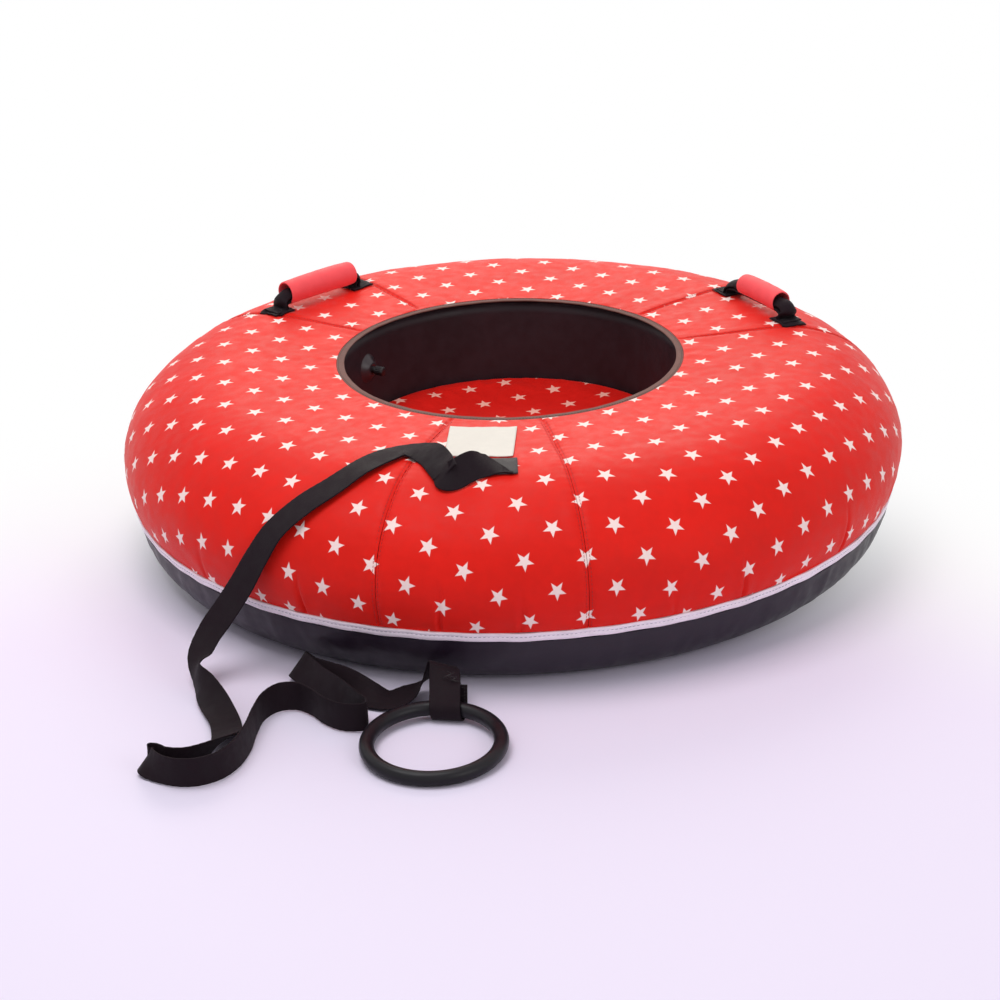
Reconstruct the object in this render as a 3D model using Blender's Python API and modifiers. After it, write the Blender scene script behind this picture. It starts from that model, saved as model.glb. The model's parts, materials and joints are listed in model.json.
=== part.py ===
"""Snow tube: an inflatable ring in a star-print fabric cover with a sliding base.

Metres, +Z up. The origin is the centre of the base where it meets the snow, and -Y is the side
that the tow strap leaves from. The rubber ring fills a cover of six sewn top panels and one base.
A raised seat closes the middle, two webbing handles sit on the crest, and a long webbing tow strap
ends in a rubber ring.
"""
import math

import bpy
import bmesh
from mathutils import Matrix, Vector

# Cover
OUTER_RADIUS = 0.500
SHOULDER_RUN = 0.1455
CREST_RADIUS = OUTER_RADIUS - SHOULDER_RUN
CREST_HEIGHT = 0.2322
WIDEST_HEIGHT = 0.1214
OPENING_RADIUS = 0.222
OPENING_DROP = 0.0030
SKIRT_TUCK = 0.0098
SKIRT_RADIUS = OUTER_RADIUS - SKIRT_TUCK
SKIRT_HEIGHT = 0.0788
FABRIC = 0.0012
SEAM_GAP = 0.0005
SEAM_DRAW = 0.0014
SEAM_REACH = 0.012
FIT = 0.0003

# Sewn panels, as (name, first seam, last seam) in degrees from +X
PANELS = (
    ("panel_front", -109.0, -81.0),
    ("panel_front_right", -81.0, 10.5),
    ("panel_right_handle", 10.5, 38.5),
    ("panel_back", 38.5, 122.5),
    ("panel_left_handle", 122.5, 150.5),
    ("panel_front_left", 150.5, 251.0),
)
PANEL_STEP_DEG = 5.4
COVER_STEPS = 56
SEAM_STATIONS_SHARE = (0.0, 0.35, 1.0)

# Base
BASE_SHEET = 0.0020
BASE_TUCK = 0.0030
BASE_SIDE_RUN = 0.0572
BASE_TOP_RADIUS = SKIRT_RADIUS - BASE_TUCK
BASE_FLAT_RADIUS = BASE_TOP_RADIUS - BASE_SIDE_RUN

# Piping round the seam of cover and base
PIPING_HEIGHT = 0.0120
PIPING_DEPTH = 0.0042
PIPING_BULGE = 0.0012

# Binding round the opening
BINDING_WIDTH = 0.0110
BINDING_DEPTH = 0.0036

# Rubber ring
TUBE_WALL = 0.0030
BORE_OVERHANG = 0.0035
TUBE_BORE_RADIUS = OPENING_RADIUS - BORE_OVERHANG
TUBE_WALL_BULGE = 0.0012
TUBE_SHOULDER = 0.030
TUBE_HEEL = 0.042
TUBE_SLACK = 0.0034
TUBE_SEAM_SLACK = 0.0010
TUBE_STEPS = 40

# Seat
SEAT_DEPTH = 0.1142
SEAT_HEIGHT = CREST_HEIGHT - SEAT_DEPTH
SEAT_DISH = 0.0090
SEAT_SKIRT = 0.0140
SEAT_SLACK = 0.0010
SEAT_EDGE = 0.0080
SEAT_STEPS = 40

# Inflation valve on the ring's inner wall
VALVE_AZIMUTH = 150.0
VALVE_DEPTH = 0.0562
VALVE_HEIGHT = CREST_HEIGHT - VALVE_DEPTH
VALVE_PATCH_RADIUS = 0.023
VALVE_PATCH_DEPTH = 0.0040
STEM_RADIUS = 0.0046
STEM_BORE = 0.0023
STEM_OUTSIDE = 0.0240
STEM_INSIDE = 0.0065
STEM_FLANGE_RADIUS = 0.0090
STEM_FLANGE = 0.0018
STEM_FLANGE_GAP = 0.0006
CORE_RADIUS = 0.0019
CORE_LENGTH = 0.0130
CORE_DEPTH = 0.0015
CORE_PIN_RADIUS = 0.0008
CAP_LENGTH = 0.0120
CAP_WALL = 0.0014
CAP_END = 0.0016
CAP_RIB = 0.0006
VALVE_STEPS = 20
CAP_RIBS = 12

# Handles: side, azimuth, outset from the crest, twist, slide of the sleeve, sleeve length
HANDLE_LEG_RUN = 0.0125
HANDLE_PATCH = 0.0340
SLEEVE_LENGTH = 0.1150
RIGHT_SLEEVE_CUT = 0.0200
HANDLE_SPACING = SLEEVE_LENGTH + 2.0 * HANDLE_LEG_RUN
SLEEVE_RADIUS = 0.0165
SLEEVE_WALL = 0.0032
SLEEVE_ROUND = 0.0014
SLEEVE_RISE = 0.0220
SLEEVE_STEPS = 20
HANDLE_WEB = 0.0250
WEB_THICKNESS = 0.0018
WEB_TAIL = 0.0120
PATCH_SHEET = 0.0014
HANDLES = (
    ("left", 137.6, -0.0032, -4.1, -0.0030, SLEEVE_LENGTH),
    ("right", 24.0, 0.0114, 3.1, -0.0060, SLEEVE_LENGTH - RIGHT_SLEEVE_CUT),
)

# Label and tow anchor on the front panel
LABEL_OUTSET = 0.0275
LABEL_OFFSET = -0.0385
LABEL_SIZE = (0.0800, 0.0930)
LABEL_CENTRE = (LABEL_OFFSET, -(OPENING_RADIUS + LABEL_OUTSET + LABEL_SIZE[1] / 2.0))
LABEL_TURN_DEG = -4.0
LABEL_SHEET = 0.0008
ANCHOR_GAP = 0.0090
ANCHOR_OFFSET = -0.0165
ANCHOR_SIZE = (0.0380, 0.0370)
ANCHOR_CENTRE = (ANCHOR_OFFSET, LABEL_CENTRE[1] - (LABEL_SIZE[1] + ANCHOR_SIZE[1]) / 2.0 - ANCHOR_GAP)
ANCHOR_SHEET = 0.0014

# Tow strap and ring
STRAP_WIDTH = 0.0350
STRAP_THICKNESS = 0.0018
STRAP_RINGS_PER_SPAN = 2
RING_RADIUS = 0.0738
RING_TUBE = 0.0085
RING_CENTRE = (-0.0990, -0.6150)
RING_LOOP_AZIMUTH = 80.0
RING_STEPS = 40
RING_SECTION_STEPS = 10
LOOP_CLEARANCE = 0.0036
LOOP_START_DEG = 30.0
LOOP_END_DEG = 250.0
LOOP_STEPS = 12
TAIL_RISE = 0.0258
TAIL_LEAN = 0.0050
TAIL_SKEW = 0.0045

# Route of the strap from its anchor to the ring: centre of the webbing, then the direction
# across it. It stands on edge in a slack turn by the label, lies over the cover's shoulder, twists
# down to the floor, and runs in folds to the ring.
STRAP_ROUTE = (
    ((-0.0020, -0.3725, 0.2352), (0.00, -1.00, -0.06)),
    ((-0.0160, -0.3722, 0.2352), (0.06, -0.98, -0.14)),
    ((-0.0306, -0.3765, 0.2376), (0.16, -0.92, -0.34)),
    ((-0.0463, -0.3870, 0.2420), (0.13, -0.68, -0.72)),
    ((-0.0604, -0.3970, 0.2396), (0.15, -0.62, -0.77)),
    ((-0.0704, -0.4030, 0.2369), (0.03, -0.60, -0.79)),
    ((-0.0778, -0.4035, 0.2366), (-0.18, -0.62, -0.76)),
    ((-0.0812, -0.3940, 0.2400), (-0.44, -0.58, -0.67)),
    ((-0.0868, -0.3740, 0.2406), (-0.68, -0.50, -0.52)),
    ((-0.0960, -0.3510, 0.2416), (-0.70, -0.52, -0.48)),
    ((-0.1110, -0.3300, 0.2385), (-0.45, -0.86, -0.15)),
    ((-0.1300, -0.3245, 0.2368), (-0.14, -0.98, 0.06)),
    ((-0.1520, -0.3390, 0.2360), (0.20, -0.98, -0.02)),
    ((-0.1790, -0.3610, 0.2318), (0.40, -0.91, -0.05)),
    ((-0.2090, -0.3800, 0.2188), (0.50, -0.85, -0.12)),
    ((-0.2435, -0.3940, 0.2022), (0.54, -0.81, -0.14)),
    ((-0.2770, -0.4040, 0.1770), (0.62, -0.78, -0.06)),
    ((-0.2995, -0.4080, 0.1450), (0.72, -0.69, -0.04)),
    ((-0.3190, -0.4110, 0.1120), (0.78, -0.60, -0.05)),
    ((-0.3410, -0.4150, 0.0800), (0.84, -0.52, 0.05)),
    ((-0.3590, -0.4200, 0.0560), (0.88, -0.44, 0.12)),
    ((-0.3700, -0.4350, 0.0375), (0.88, -0.30, 0.34)),
    ((-0.3725, -0.4590, 0.0245), (0.30, -0.34, 0.88)),
    ((-0.3600, -0.4860, 0.0185), (0.66, 0.06, 0.74)),
    ((-0.3450, -0.5150, 0.0100), (0.93, 0.20, 0.24)),
    ((-0.3335, -0.5460, 0.0075), (0.98, 0.10, 0.02)),
    ((-0.3290, -0.5780, 0.0100), (0.97, -0.05, 0.25)),
    ((-0.3325, -0.6060, 0.0150), (0.75, -0.20, 0.62)),
    ((-0.3440, -0.6330, 0.0182), (0.30, -0.20, 0.93)),
    ((-0.3650, -0.6520, 0.0188), (0.06, 0.00, 1.00)),
    ((-0.3870, -0.6515, 0.0190), (0.22, 0.03, 0.97)),
    ((-0.4010, -0.6435, 0.0192), (0.45, -0.02, 0.89)),
    ((-0.4082, -0.6425, 0.0192), (0.56, -0.05, 0.82)),
    ((-0.4090, -0.6485, 0.0190), (0.56, -0.07, 0.82)),
    ((-0.4010, -0.6590, 0.0188), (0.38, -0.06, 0.92)),
    ((-0.3880, -0.6695, 0.0188), (0.14, -0.02, 0.99)),
    ((-0.3710, -0.6765, 0.0188), (0.00, 0.00, 1.00)),
    ((-0.3500, -0.6760, 0.0188), (0.00, 0.00, 1.00)),
    ((-0.3290, -0.6640, 0.0188), (-0.06, 0.00, 1.00)),
    ((-0.3130, -0.6400, 0.0188), (-0.10, 0.00, 1.00)),
    ((-0.3030, -0.6050, 0.0188), (-0.12, 0.00, 1.00)),
    ((-0.2980, -0.5660, 0.0188), (-0.06, 0.00, 1.00)),
    ((-0.2900, -0.5320, 0.0188), (0.00, 0.06, 1.00)),
    ((-0.2740, -0.5130, 0.0188), (0.00, 0.10, 1.00)),
    ((-0.2550, -0.5120, 0.0188), (0.00, 0.08, 1.00)),
    ((-0.2380, -0.5260, 0.0188), (0.00, 0.00, 1.00)),
    ((-0.2220, -0.5480, 0.0188), (0.00, 0.00, 1.00)),
    ((-0.2040, -0.5630, 0.0188), (0.00, 0.00, 1.00)),
    ((-0.1850, -0.5670, 0.0188), (0.00, 0.00, 1.00)),
    ((-0.1745, -0.5630, 0.0188), (0.00, 0.00, 1.00)),
    ((-0.1740, -0.5550, 0.0188), (0.00, 0.00, 1.00)),
    ((-0.1830, -0.5430, 0.0188), (0.05, 0.05, 1.00)),
    ((-0.2060, -0.5090, 0.0182), (0.20, 0.15, 0.96)),
    ((-0.2330, -0.4730, 0.0170), (0.40, 0.24, 0.88)),
    ((-0.2495, -0.4490, 0.0188), (0.55, 0.27, 0.79)),
    ((-0.2578, -0.4368, 0.0201), (0.60, 0.28, 0.75)),
    ((-0.2577, -0.4311, 0.0178), (0.60, 0.28, 0.75)),
    ((-0.2522, -0.4332, 0.0143), (0.60, 0.28, 0.75)),
    ((-0.2426, -0.4457, 0.0142), (0.52, 0.30, 0.80)),
    ((-0.2040, -0.4750, 0.0160), (0.20, 0.44, 0.87)),
    ((-0.1765, -0.4980, 0.0115), (0.05, 0.84, 0.53)),
    ((-0.1510, -0.5060, 0.0070), (-0.10, 0.98, 0.16)),
    ((-0.1290, -0.4980, 0.0115), (-0.05, 0.98, 0.10)),
    ((-0.1120, -0.4925, 0.0215), (0.20, 0.95, -0.25)),
    ((-0.0990, -0.4930, 0.0345), (0.55, 0.72, -0.40)),
    ((-0.0905, -0.4985, 0.0460), (0.80, 0.40, -0.45)),
    ((-0.0872, -0.5090, 0.0495), (0.92, 0.12, -0.36)),
    ((-0.0866, -0.5240, 0.0420), (0.97, -0.06, -0.14)),
    ((-0.0870, -0.5375, 0.0330), (0.98, -0.17, 0.00)),
)


def clear_scene() -> None:
    """Remove the objects that the scene starts with."""
    for thing in list(bpy.data.objects):
        bpy.data.objects.remove(thing, do_unlink=True)


def make_collection(name: str) -> bpy.types.Collection:
    """Return a new collection linked to the scene."""
    collection = bpy.data.collections.new(name)
    bpy.context.scene.collection.children.link(collection)
    return collection


def make_material(name: str, colour, roughness: float, metallic: float = 0.0):
    """Return a Principled material of one colour."""
    material = bpy.data.materials.new(name)
    material.use_nodes = True
    shader = material.node_tree.nodes["Principled BSDF"]
    shader.inputs["Base Color"].default_value = (*colour, 1.0)
    shader.inputs["Roughness"].default_value = roughness
    shader.inputs["Metallic"].default_value = metallic
    material.diffuse_color = (*colour, 1.0)
    return material


def add_object(name: str, mesh, material, collection):
    """Link a mesh as a named object, shaded smooth but for its sharp edges."""
    thing = bpy.data.objects.new(name, mesh)
    collection.objects.link(thing)
    if material:
        mesh.materials.append(material)
    if mesh.polygons:
        mesh.shade_smooth()
        mesh.set_sharp_from_angle(angle=math.radians(40.0))
    return thing


def turned(name: str, profile, steps: int, closed: bool, material, collection):
    """Turn a profile of (radius, height) pairs about the object's own Z axis."""
    points = [(radius, 0.0, height) for radius, height in profile]
    edges = [(i, i + 1) for i in range(len(points) - 1)]
    if closed:
        edges.append((len(points) - 1, 0))
    mesh = bpy.data.meshes.new(name)
    mesh.from_pydata(points, edges, [])
    thing = add_object(name, mesh, material, collection)
    screw = thing.modifiers.new("turn", "SCREW")
    screw.axis = "Z"
    screw.steps = steps
    screw.render_steps = steps
    screw.use_merge_vertices = True
    screw.merge_threshold = 0.0001
    screw.use_smooth_shade = True
    return thing


def grid_mesh(name: str, rows):
    """Return an open mesh of four-sided faces through rows of points."""
    width = len(rows[0])
    points = [tuple(point) for row in rows for point in row]
    faces = []
    for i in range(len(rows) - 1):
        for j in range(width - 1):
            a = i * width + j
            faces.append((a, a + 1, a + width + 1, a + width))
    mesh = bpy.data.meshes.new(name)
    mesh.from_pydata(points, [], faces)
    return mesh


def sheet(name: str, rows, thickness: float, material, collection):
    """Build a sheet through rows of points and thicken it to the side away from its faces."""
    thing = add_object(name, grid_mesh(name, rows), material, collection)
    solid = thing.modifiers.new("thickness", "SOLIDIFY")
    solid.thickness = thickness
    solid.offset = -1.0
    solid.use_even_offset = True
    return thing


def cut(thing, cutter) -> None:
    """Cut a cutter out of an object."""
    boolean = thing.modifiers.new("cut", "BOOLEAN")
    boolean.operation = "DIFFERENCE"
    boolean.solver = "EXACT"
    boolean.object = cutter


def as_cutter(thing) -> None:
    """Hide an object that only cuts others."""
    thing.hide_render = True
    thing.display_type = "WIRE"


def offset_profile(profile, distance: float):
    """Move a profile sideways: to the right of its direction for a positive distance."""
    moved = []
    last = len(profile) - 1
    for i, (radius, height) in enumerate(profile):
        before = profile[max(i - 1, 0)]
        after = profile[min(i + 1, last)]
        dr = after[0] - before[0]
        dz = after[1] - before[1]
        size = math.hypot(dr, dz)
        moved.append((radius + dz / size * distance, height - dr / size * distance))
    return moved


def cover_height(radius: float) -> float:
    """Height of the cover's outer face at a radius between the opening and the widest point."""
    if radius < CREST_RADIUS:
        share = (CREST_RADIUS - radius) / (CREST_RADIUS - OPENING_RADIUS)
        return CREST_HEIGHT - OPENING_DROP * share * share
    share = (radius - CREST_RADIUS) / (OUTER_RADIUS - CREST_RADIUS)
    return WIDEST_HEIGHT + (CREST_HEIGHT - WIDEST_HEIGHT) * math.sqrt(max(0.0, 1.0 - share * share))


def cover_profile(inner_radius: float, crest_steps: int, shoulder_steps: int):
    """Outer face of the top cover, from the opening over the crest to the skirt seam."""
    profile = []
    for i in range(crest_steps):
        radius = inner_radius + (CREST_RADIUS - inner_radius) * i / crest_steps
        profile.append((radius, cover_height(radius)))
    for i in range(shoulder_steps + 1):
        angle = math.pi / 2.0 * i / shoulder_steps
        radius = CREST_RADIUS + (OUTER_RADIUS - CREST_RADIUS) * math.sin(angle)
        height = WIDEST_HEIGHT + (CREST_HEIGHT - WIDEST_HEIGHT) * math.cos(angle)
        profile.append((radius, height))
    for share in (0.5, 1.0):
        radius = OUTER_RADIUS - (OUTER_RADIUS - SKIRT_RADIUS) * share * share
        profile.append((radius, WIDEST_HEIGHT + (SKIRT_HEIGHT - WIDEST_HEIGHT) * share))
    return profile


def on_cover(x: float, y: float, lift: float) -> Vector:
    """Point above the cover at a plan position, lifted square to its surface."""
    radius = math.hypot(x, y)
    step = FABRIC
    slope = (cover_height(radius + step) - cover_height(radius - step)) / (2.0 * step)
    size = math.hypot(slope, 1.0)
    outward = -slope / size * lift
    return Vector((
        x + x / radius * outward,
        y + y / radius * outward,
        cover_height(radius) + lift / size,
    ))


def panel_stations(first: float, last: float):
    """Azimuths of a panel's columns, closer together beside its two seams."""
    seam_gap = math.degrees(SEAM_GAP / 2.0 / OUTER_RADIUS)
    reach = math.degrees(SEAM_REACH / OUTER_RADIUS)
    start = first + seam_gap
    end = last - seam_gap
    near = [start + reach * share for share in SEAM_STATIONS_SHARE]
    far = [end - reach * share for share in reversed(SEAM_STATIONS_SHARE)]
    middle = max(2, round((far[0] - near[-1]) / PANEL_STEP_DEG))
    between = [near[-1] + (far[0] - near[-1]) * i / middle for i in range(1, middle)]
    return near + between + far


def build_panels(materials, collection) -> None:
    """Top cover: six sewn panels, each drawn in a little along its two seams."""
    profile = cover_profile(OPENING_RADIUS + FIT, 2, 7)
    drawn = offset_profile(profile, SEAM_DRAW)
    for name, first, last in PANELS:
        rows = []
        for azimuth in panel_stations(first, last):
            arc = OUTER_RADIUS * math.radians(min(azimuth - first, last - azimuth))
            share = math.exp(-((arc / (SEAM_REACH / 2.0)) ** 2))
            cosine = math.cos(math.radians(azimuth))
            sine = math.sin(math.radians(azimuth))
            row = []
            for (radius, height), (in_radius, in_height) in zip(profile, drawn):
                r = radius + (in_radius - radius) * share
                z = height + (in_height - height) * share
                row.append((r * cosine, r * sine, z))
            rows.append(row)
        sheet(name, rows, FABRIC, materials["cover"], collection)


def base_profile(steps: int):
    """Outer face of the base, from the flat bottom up to the piping."""
    top = SKIRT_HEIGHT - PIPING_HEIGHT
    profile = []
    for i in range(steps + 1):
        angle = math.pi / 2.0 * i / steps
        radius = BASE_FLAT_RADIUS + (BASE_TOP_RADIUS - BASE_FLAT_RADIUS) * math.sin(angle)
        profile.append((radius, top * (1.0 - math.cos(angle))))
    return profile


def build_base(materials, collection) -> None:
    """Base: a shallow bowl of coated sheet with a flat bottom, closed by the piping."""
    outer = base_profile(5)
    inner = offset_profile(outer, -BASE_SHEET)
    inner[0] = (BASE_FLAT_RADIUS, BASE_SHEET)
    top = outer[-1][1] - FIT
    inner[-1] = (outer[-1][0] - BASE_SHEET, top)
    outer[-1] = (outer[-1][0], top)
    profile = [(0.0, BASE_SHEET)] + inner + list(reversed(outer)) + [(0.0, 0.0)]
    turned("bottom_cover", profile, COVER_STEPS, False, materials["base"], collection)


def build_piping(materials, collection) -> None:
    """Edge piping: a pale folded band over the seam of the panels and the base."""
    top = SKIRT_HEIGHT - FIT
    bottom = SKIRT_HEIGHT - PIPING_HEIGHT
    outside = SKIRT_RADIUS + PIPING_BULGE
    foot = BASE_TOP_RADIUS + PIPING_BULGE
    bulge = outside + PIPING_BULGE / 2.0
    middle = (top + bottom) / 2.0
    profile = [
        (outside - PIPING_BULGE, top),
        (outside, top - PIPING_BULGE),
        (bulge, middle + PIPING_BULGE),
        (bulge - PIPING_BULGE / 2.0, middle),
        (foot + PIPING_BULGE / 2.0, bottom + PIPING_BULGE),
        (foot - PIPING_BULGE, bottom),
        (foot - PIPING_DEPTH + PIPING_BULGE, bottom),
        (outside - PIPING_DEPTH, top),
    ]
    turned("edge_piping", profile, COVER_STEPS, True, materials["piping"], collection)


def build_binding(materials, collection) -> None:
    """Opening binding: a flat tape folded round the cover's inner edge."""
    outer = OPENING_RADIUS
    inner = OPENING_RADIUS - BINDING_WIDTH
    top = CREST_HEIGHT - OPENING_DROP
    bottom = top - BINDING_DEPTH
    round_off = BINDING_DEPTH / 4.0
    profile = [
        (outer - round_off, top),
        (outer, top - round_off),
        (outer, bottom + round_off),
        (outer - round_off, bottom),
        (inner + round_off, bottom),
        (inner, bottom + round_off),
        (inner, top - round_off),
        (inner + round_off, top),
    ]
    turned("opening_binding", profile, COVER_STEPS, True, materials["binding"], collection)


def tube_profile():
    """Section of the rubber ring, filled out against the cover, the base and its own bore."""
    inset = FABRIC + TUBE_SLACK
    shoulder_radius = TUBE_BORE_RADIUS + TUBE_SHOULDER
    top = offset_profile(cover_profile(shoulder_radius, 1, 6), inset)
    floor = BASE_SHEET + FIT
    low = offset_profile(base_profile(3), -(BASE_SHEET + TUBE_SLACK))
    low[0] = (BASE_FLAT_RADIUS - TUBE_SLACK, floor)
    heel_radius = TUBE_BORE_RADIUS + TUBE_HEEL
    inside_seam = PIPING_BULGE - PIPING_DEPTH - TUBE_SEAM_SLACK
    seam = [
        (SKIRT_RADIUS + inside_seam, SKIRT_HEIGHT),
        (BASE_TOP_RADIUS + inside_seam, SKIRT_HEIGHT - PIPING_HEIGHT),
    ]
    profile = top[:-1] + seam + list(reversed(low[:-1]))
    for i in range(4):
        angle = math.pi / 2.0 * i / 3
        profile.append((
            heel_radius - TUBE_HEEL * math.sin(angle),
            floor + TUBE_HEEL * (1.0 - math.cos(angle)),
        ))
    crown = top[0][1]
    waist = (floor + TUBE_HEEL + crown - TUBE_SHOULDER) / 2.0
    profile.append((TUBE_BORE_RADIUS - TUBE_WALL_BULGE, waist))
    for i in range(3):
        angle = math.pi / 2.0 * i / 3
        profile.append((
            shoulder_radius - TUBE_SHOULDER * math.cos(angle),
            crown - TUBE_SHOULDER * (1.0 - math.sin(angle)),
        ))
    return profile


def valve_matrix() -> Matrix:
    """Place local +Z along the valve's axis, out of the ring's bore wall to the middle."""
    azimuth = math.radians(VALVE_AZIMUTH)
    outward = Vector((math.cos(azimuth), math.sin(azimuth), 0.0))
    along = -outward
    up = Vector((0.0, 0.0, 1.0))
    side = up.cross(along)
    matrix = Matrix((side, up, along)).transposed().to_4x4()
    matrix.translation = outward * TUBE_BORE_RADIUS + up * VALVE_HEIGHT
    return matrix


def build_tube(materials, collection, cutters) -> None:
    """Inner tube: a hollow rubber ring, open only where the valve stem passes its wall."""
    tube = turned("inner_tube", tube_profile(), TUBE_STEPS, True, materials["rubber"], collection)
    solid = tube.modifiers.new("wall", "SOLIDIFY")
    solid.thickness = TUBE_WALL
    solid.offset = -1.0
    hole = (STEM_RADIUS + FIT, TUBE_WALL * 3.0)
    profile = [(0.0, hole[1]), (hole[0], hole[1]), (hole[0], -hole[1]), (0.0, -hole[1])]
    cutter = turned("valve_hole_cutter", profile, VALVE_STEPS, False, None, cutters)
    cutter.matrix_world = valve_matrix()
    as_cutter(cutter)
    cut(tube, cutter)


def build_valve(materials, collection, cutters) -> None:
    """Valve: a bonded rubber patch, the stem, its core and a ribbed screw cap."""
    place = valve_matrix()
    root = STEM_RADIUS + FIT
    depth = VALVE_PATCH_DEPTH
    back = -TUBE_WALL
    patch_profile = [
        (root, depth + TUBE_WALL_BULGE),
        (VALVE_PATCH_RADIUS * 0.5, depth),
        (VALVE_PATCH_RADIUS * 0.8, depth * 0.7),
        (VALVE_PATCH_RADIUS, 0.0),
        (VALVE_PATCH_RADIUS, back),
        (root, back),
    ]
    patch = turned("valve_patch", patch_profile, VALVE_STEPS, True, materials["rubber"], collection)
    patch.matrix_world = place
    wall_profile = tube_profile()[-6:]
    wall = offset_profile(wall_profile, -FIT)
    wall.append((shoulder_reach(), wall[-1][1]))
    wall.append((shoulder_reach(), wall[0][1]))
    cutter = turned("bore_wall_cutter", wall, TUBE_STEPS, True, None, cutters)
    as_cutter(cutter)
    cut(patch, cutter)

    flange = -(TUBE_WALL + STEM_FLANGE_GAP)
    bottom = -STEM_INSIDE
    stem_profile = [
        (STEM_BORE, STEM_OUTSIDE),
        (STEM_RADIUS - CORE_PIN_RADIUS, STEM_OUTSIDE),
        (STEM_RADIUS, STEM_OUTSIDE - CORE_PIN_RADIUS),
        (STEM_RADIUS, flange),
        (STEM_FLANGE_RADIUS, flange),
        (STEM_FLANGE_RADIUS, flange - STEM_FLANGE),
        (STEM_RADIUS, flange - STEM_FLANGE),
        (STEM_RADIUS, bottom),
        (STEM_BORE, bottom),
    ]
    stem = turned("valve_stem", stem_profile, VALVE_STEPS, True, materials["stem"], collection)
    stem.matrix_world = place

    core_top = STEM_OUTSIDE - CORE_DEPTH
    core_bottom = core_top - CORE_LENGTH
    core_profile = [
        (0.0, core_top),
        (CORE_PIN_RADIUS, core_top),
        (CORE_PIN_RADIUS, core_top - CORE_DEPTH),
        (CORE_RADIUS, core_top - CORE_DEPTH * 2.0),
        (CORE_RADIUS, core_bottom + CORE_DEPTH),
        (CORE_PIN_RADIUS, core_bottom),
        (0.0, core_bottom),
    ]
    core = turned("valve_core", core_profile, VALVE_STEPS, False, materials["brass"], collection)
    core.matrix_world = place

    cap_bore = STEM_RADIUS + FIT
    cap_outer = cap_bore + CAP_WALL
    cap_top = STEM_OUTSIDE + FIT + CAP_END
    cap_low = cap_top - CAP_LENGTH
    ceiling = cap_top - CAP_END
    rings = ((cap_top, True), (cap_low, True), (cap_low, False), (ceiling, False))
    build_cap(place, cap_bore, cap_outer, rings, materials, collection)


def build_cap(place, bore: float, outer: float, rings, materials, collection) -> None:
    """Valve cap: ribbed outside, with a blind bore that fits over the stem."""
    bm = bmesh.new()
    loops = []
    count = CAP_RIBS * 2
    for height, outside in rings:
        loop = []
        for i in range(count):
            rib = CAP_RIB if outside and i % 2 else 0.0
            radius = (outer - rib) if outside else bore
            angle = math.tau * i / count
            point = place @ Vector((radius * math.cos(angle), radius * math.sin(angle), height))
            loop.append(bm.verts.new(point))
        loops.append(loop)
    for upper, lower in zip(loops, loops[1:]):
        for i in range(count):
            j = (i + 1) % count
            bm.faces.new((upper[j], upper[i], lower[i], lower[j]))
    bm.faces.new(loops[0])
    bm.faces.new(list(reversed(loops[-1])))
    bmesh.ops.recalc_face_normals(bm, faces=bm.faces)
    mesh = bpy.data.meshes.new("valve_cap")
    bm.to_mesh(mesh)
    bm.free()
    cap = add_object("valve_cap", mesh, materials["stem"], collection)
    centre = place @ Vector((0.0, 0.0, STEM_OUTSIDE))
    mesh.transform(Matrix.Translation(-centre))
    cap.location = centre


def shoulder_reach() -> float:
    """Radius well inside the rubber ring's body."""
    return TUBE_BORE_RADIUS + TUBE_SHOULDER


def build_seat(materials, collection) -> None:
    """Seat: a foam pad on the base under a dished star-print panel with a turned-down edge."""
    outer = TUBE_BORE_RADIUS - TUBE_WALL_BULGE - SEAT_SLACK
    rim = SEAT_HEIGHT
    steps = 4
    top = []
    for i in range(steps + 1):
        share = i / steps
        radius = (outer - SEAT_EDGE) * share
        top.append((radius, rim - SEAT_DISH * (1.0 - share * share)))
    edge = []
    for angle in (30.0, 60.0, 90.0):
        turn = math.radians(angle)
        edge.append((
            outer - SEAT_EDGE + SEAT_EDGE * math.sin(turn),
            rim - SEAT_EDGE * (1.0 - math.cos(turn)),
        ))
    outside = top + edge + [(outer, rim - SEAT_SKIRT)]
    inside = offset_profile(outside, FABRIC)
    inside[0] = (0.0, outside[0][1] - FABRIC)
    inside[-1] = (outer - FABRIC, rim - SEAT_SKIRT)
    panel = outside + list(reversed(inside))
    turned("seat_panel", panel, SEAT_STEPS, False, materials["cover"], collection)

    pad_outside = offset_profile(outside, FABRIC + FIT)
    pad_outside[0] = (0.0, outside[0][1] - FABRIC - FIT)
    waist = outer - FABRIC - FIT
    floor = BASE_SHEET + FIT
    pad_outside[-1] = (waist, rim - SEAT_SKIRT)
    pad = pad_outside + [
        (waist, floor + SEAT_EDGE),
        (waist - SEAT_EDGE, floor),
        (0.0, floor),
    ]
    turned("seat_foam", pad, SEAT_STEPS, False, materials["foam"], collection)


def patch_rows(centre, size, turn: float, lift: float, steps: int):
    """Rows of points of a flat rectangle laid on the cover."""
    cosine = math.cos(turn)
    sine = math.sin(turn)
    rows = []
    for i in range(steps + 1):
        u = (i / steps - 0.5) * size[0]
        row = []
        for j in range(steps + 1):
            v = (j / steps - 0.5) * size[1]
            x = centre[0] + u * cosine - v * sine
            y = centre[1] + u * sine + v * cosine
            row.append(on_cover(x, y, lift))
        rows.append(row)
    return [list(reversed(row)) for row in rows]


def build_front_trim(materials, collection) -> None:
    """Bare care label and the webbing patch that anchors the tow strap."""
    rows = patch_rows(LABEL_CENTRE, LABEL_SIZE, math.radians(LABEL_TURN_DEG), FIT + LABEL_SHEET, 6)
    sheet("care_label", rows, LABEL_SHEET, materials["label"], collection)
    rows = patch_rows(ANCHOR_CENTRE, ANCHOR_SIZE, 0.0, FIT + ANCHOR_SHEET, 4)
    sheet("tow_anchor_patch", rows, ANCHOR_SHEET, materials["webbing"], collection)


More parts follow.
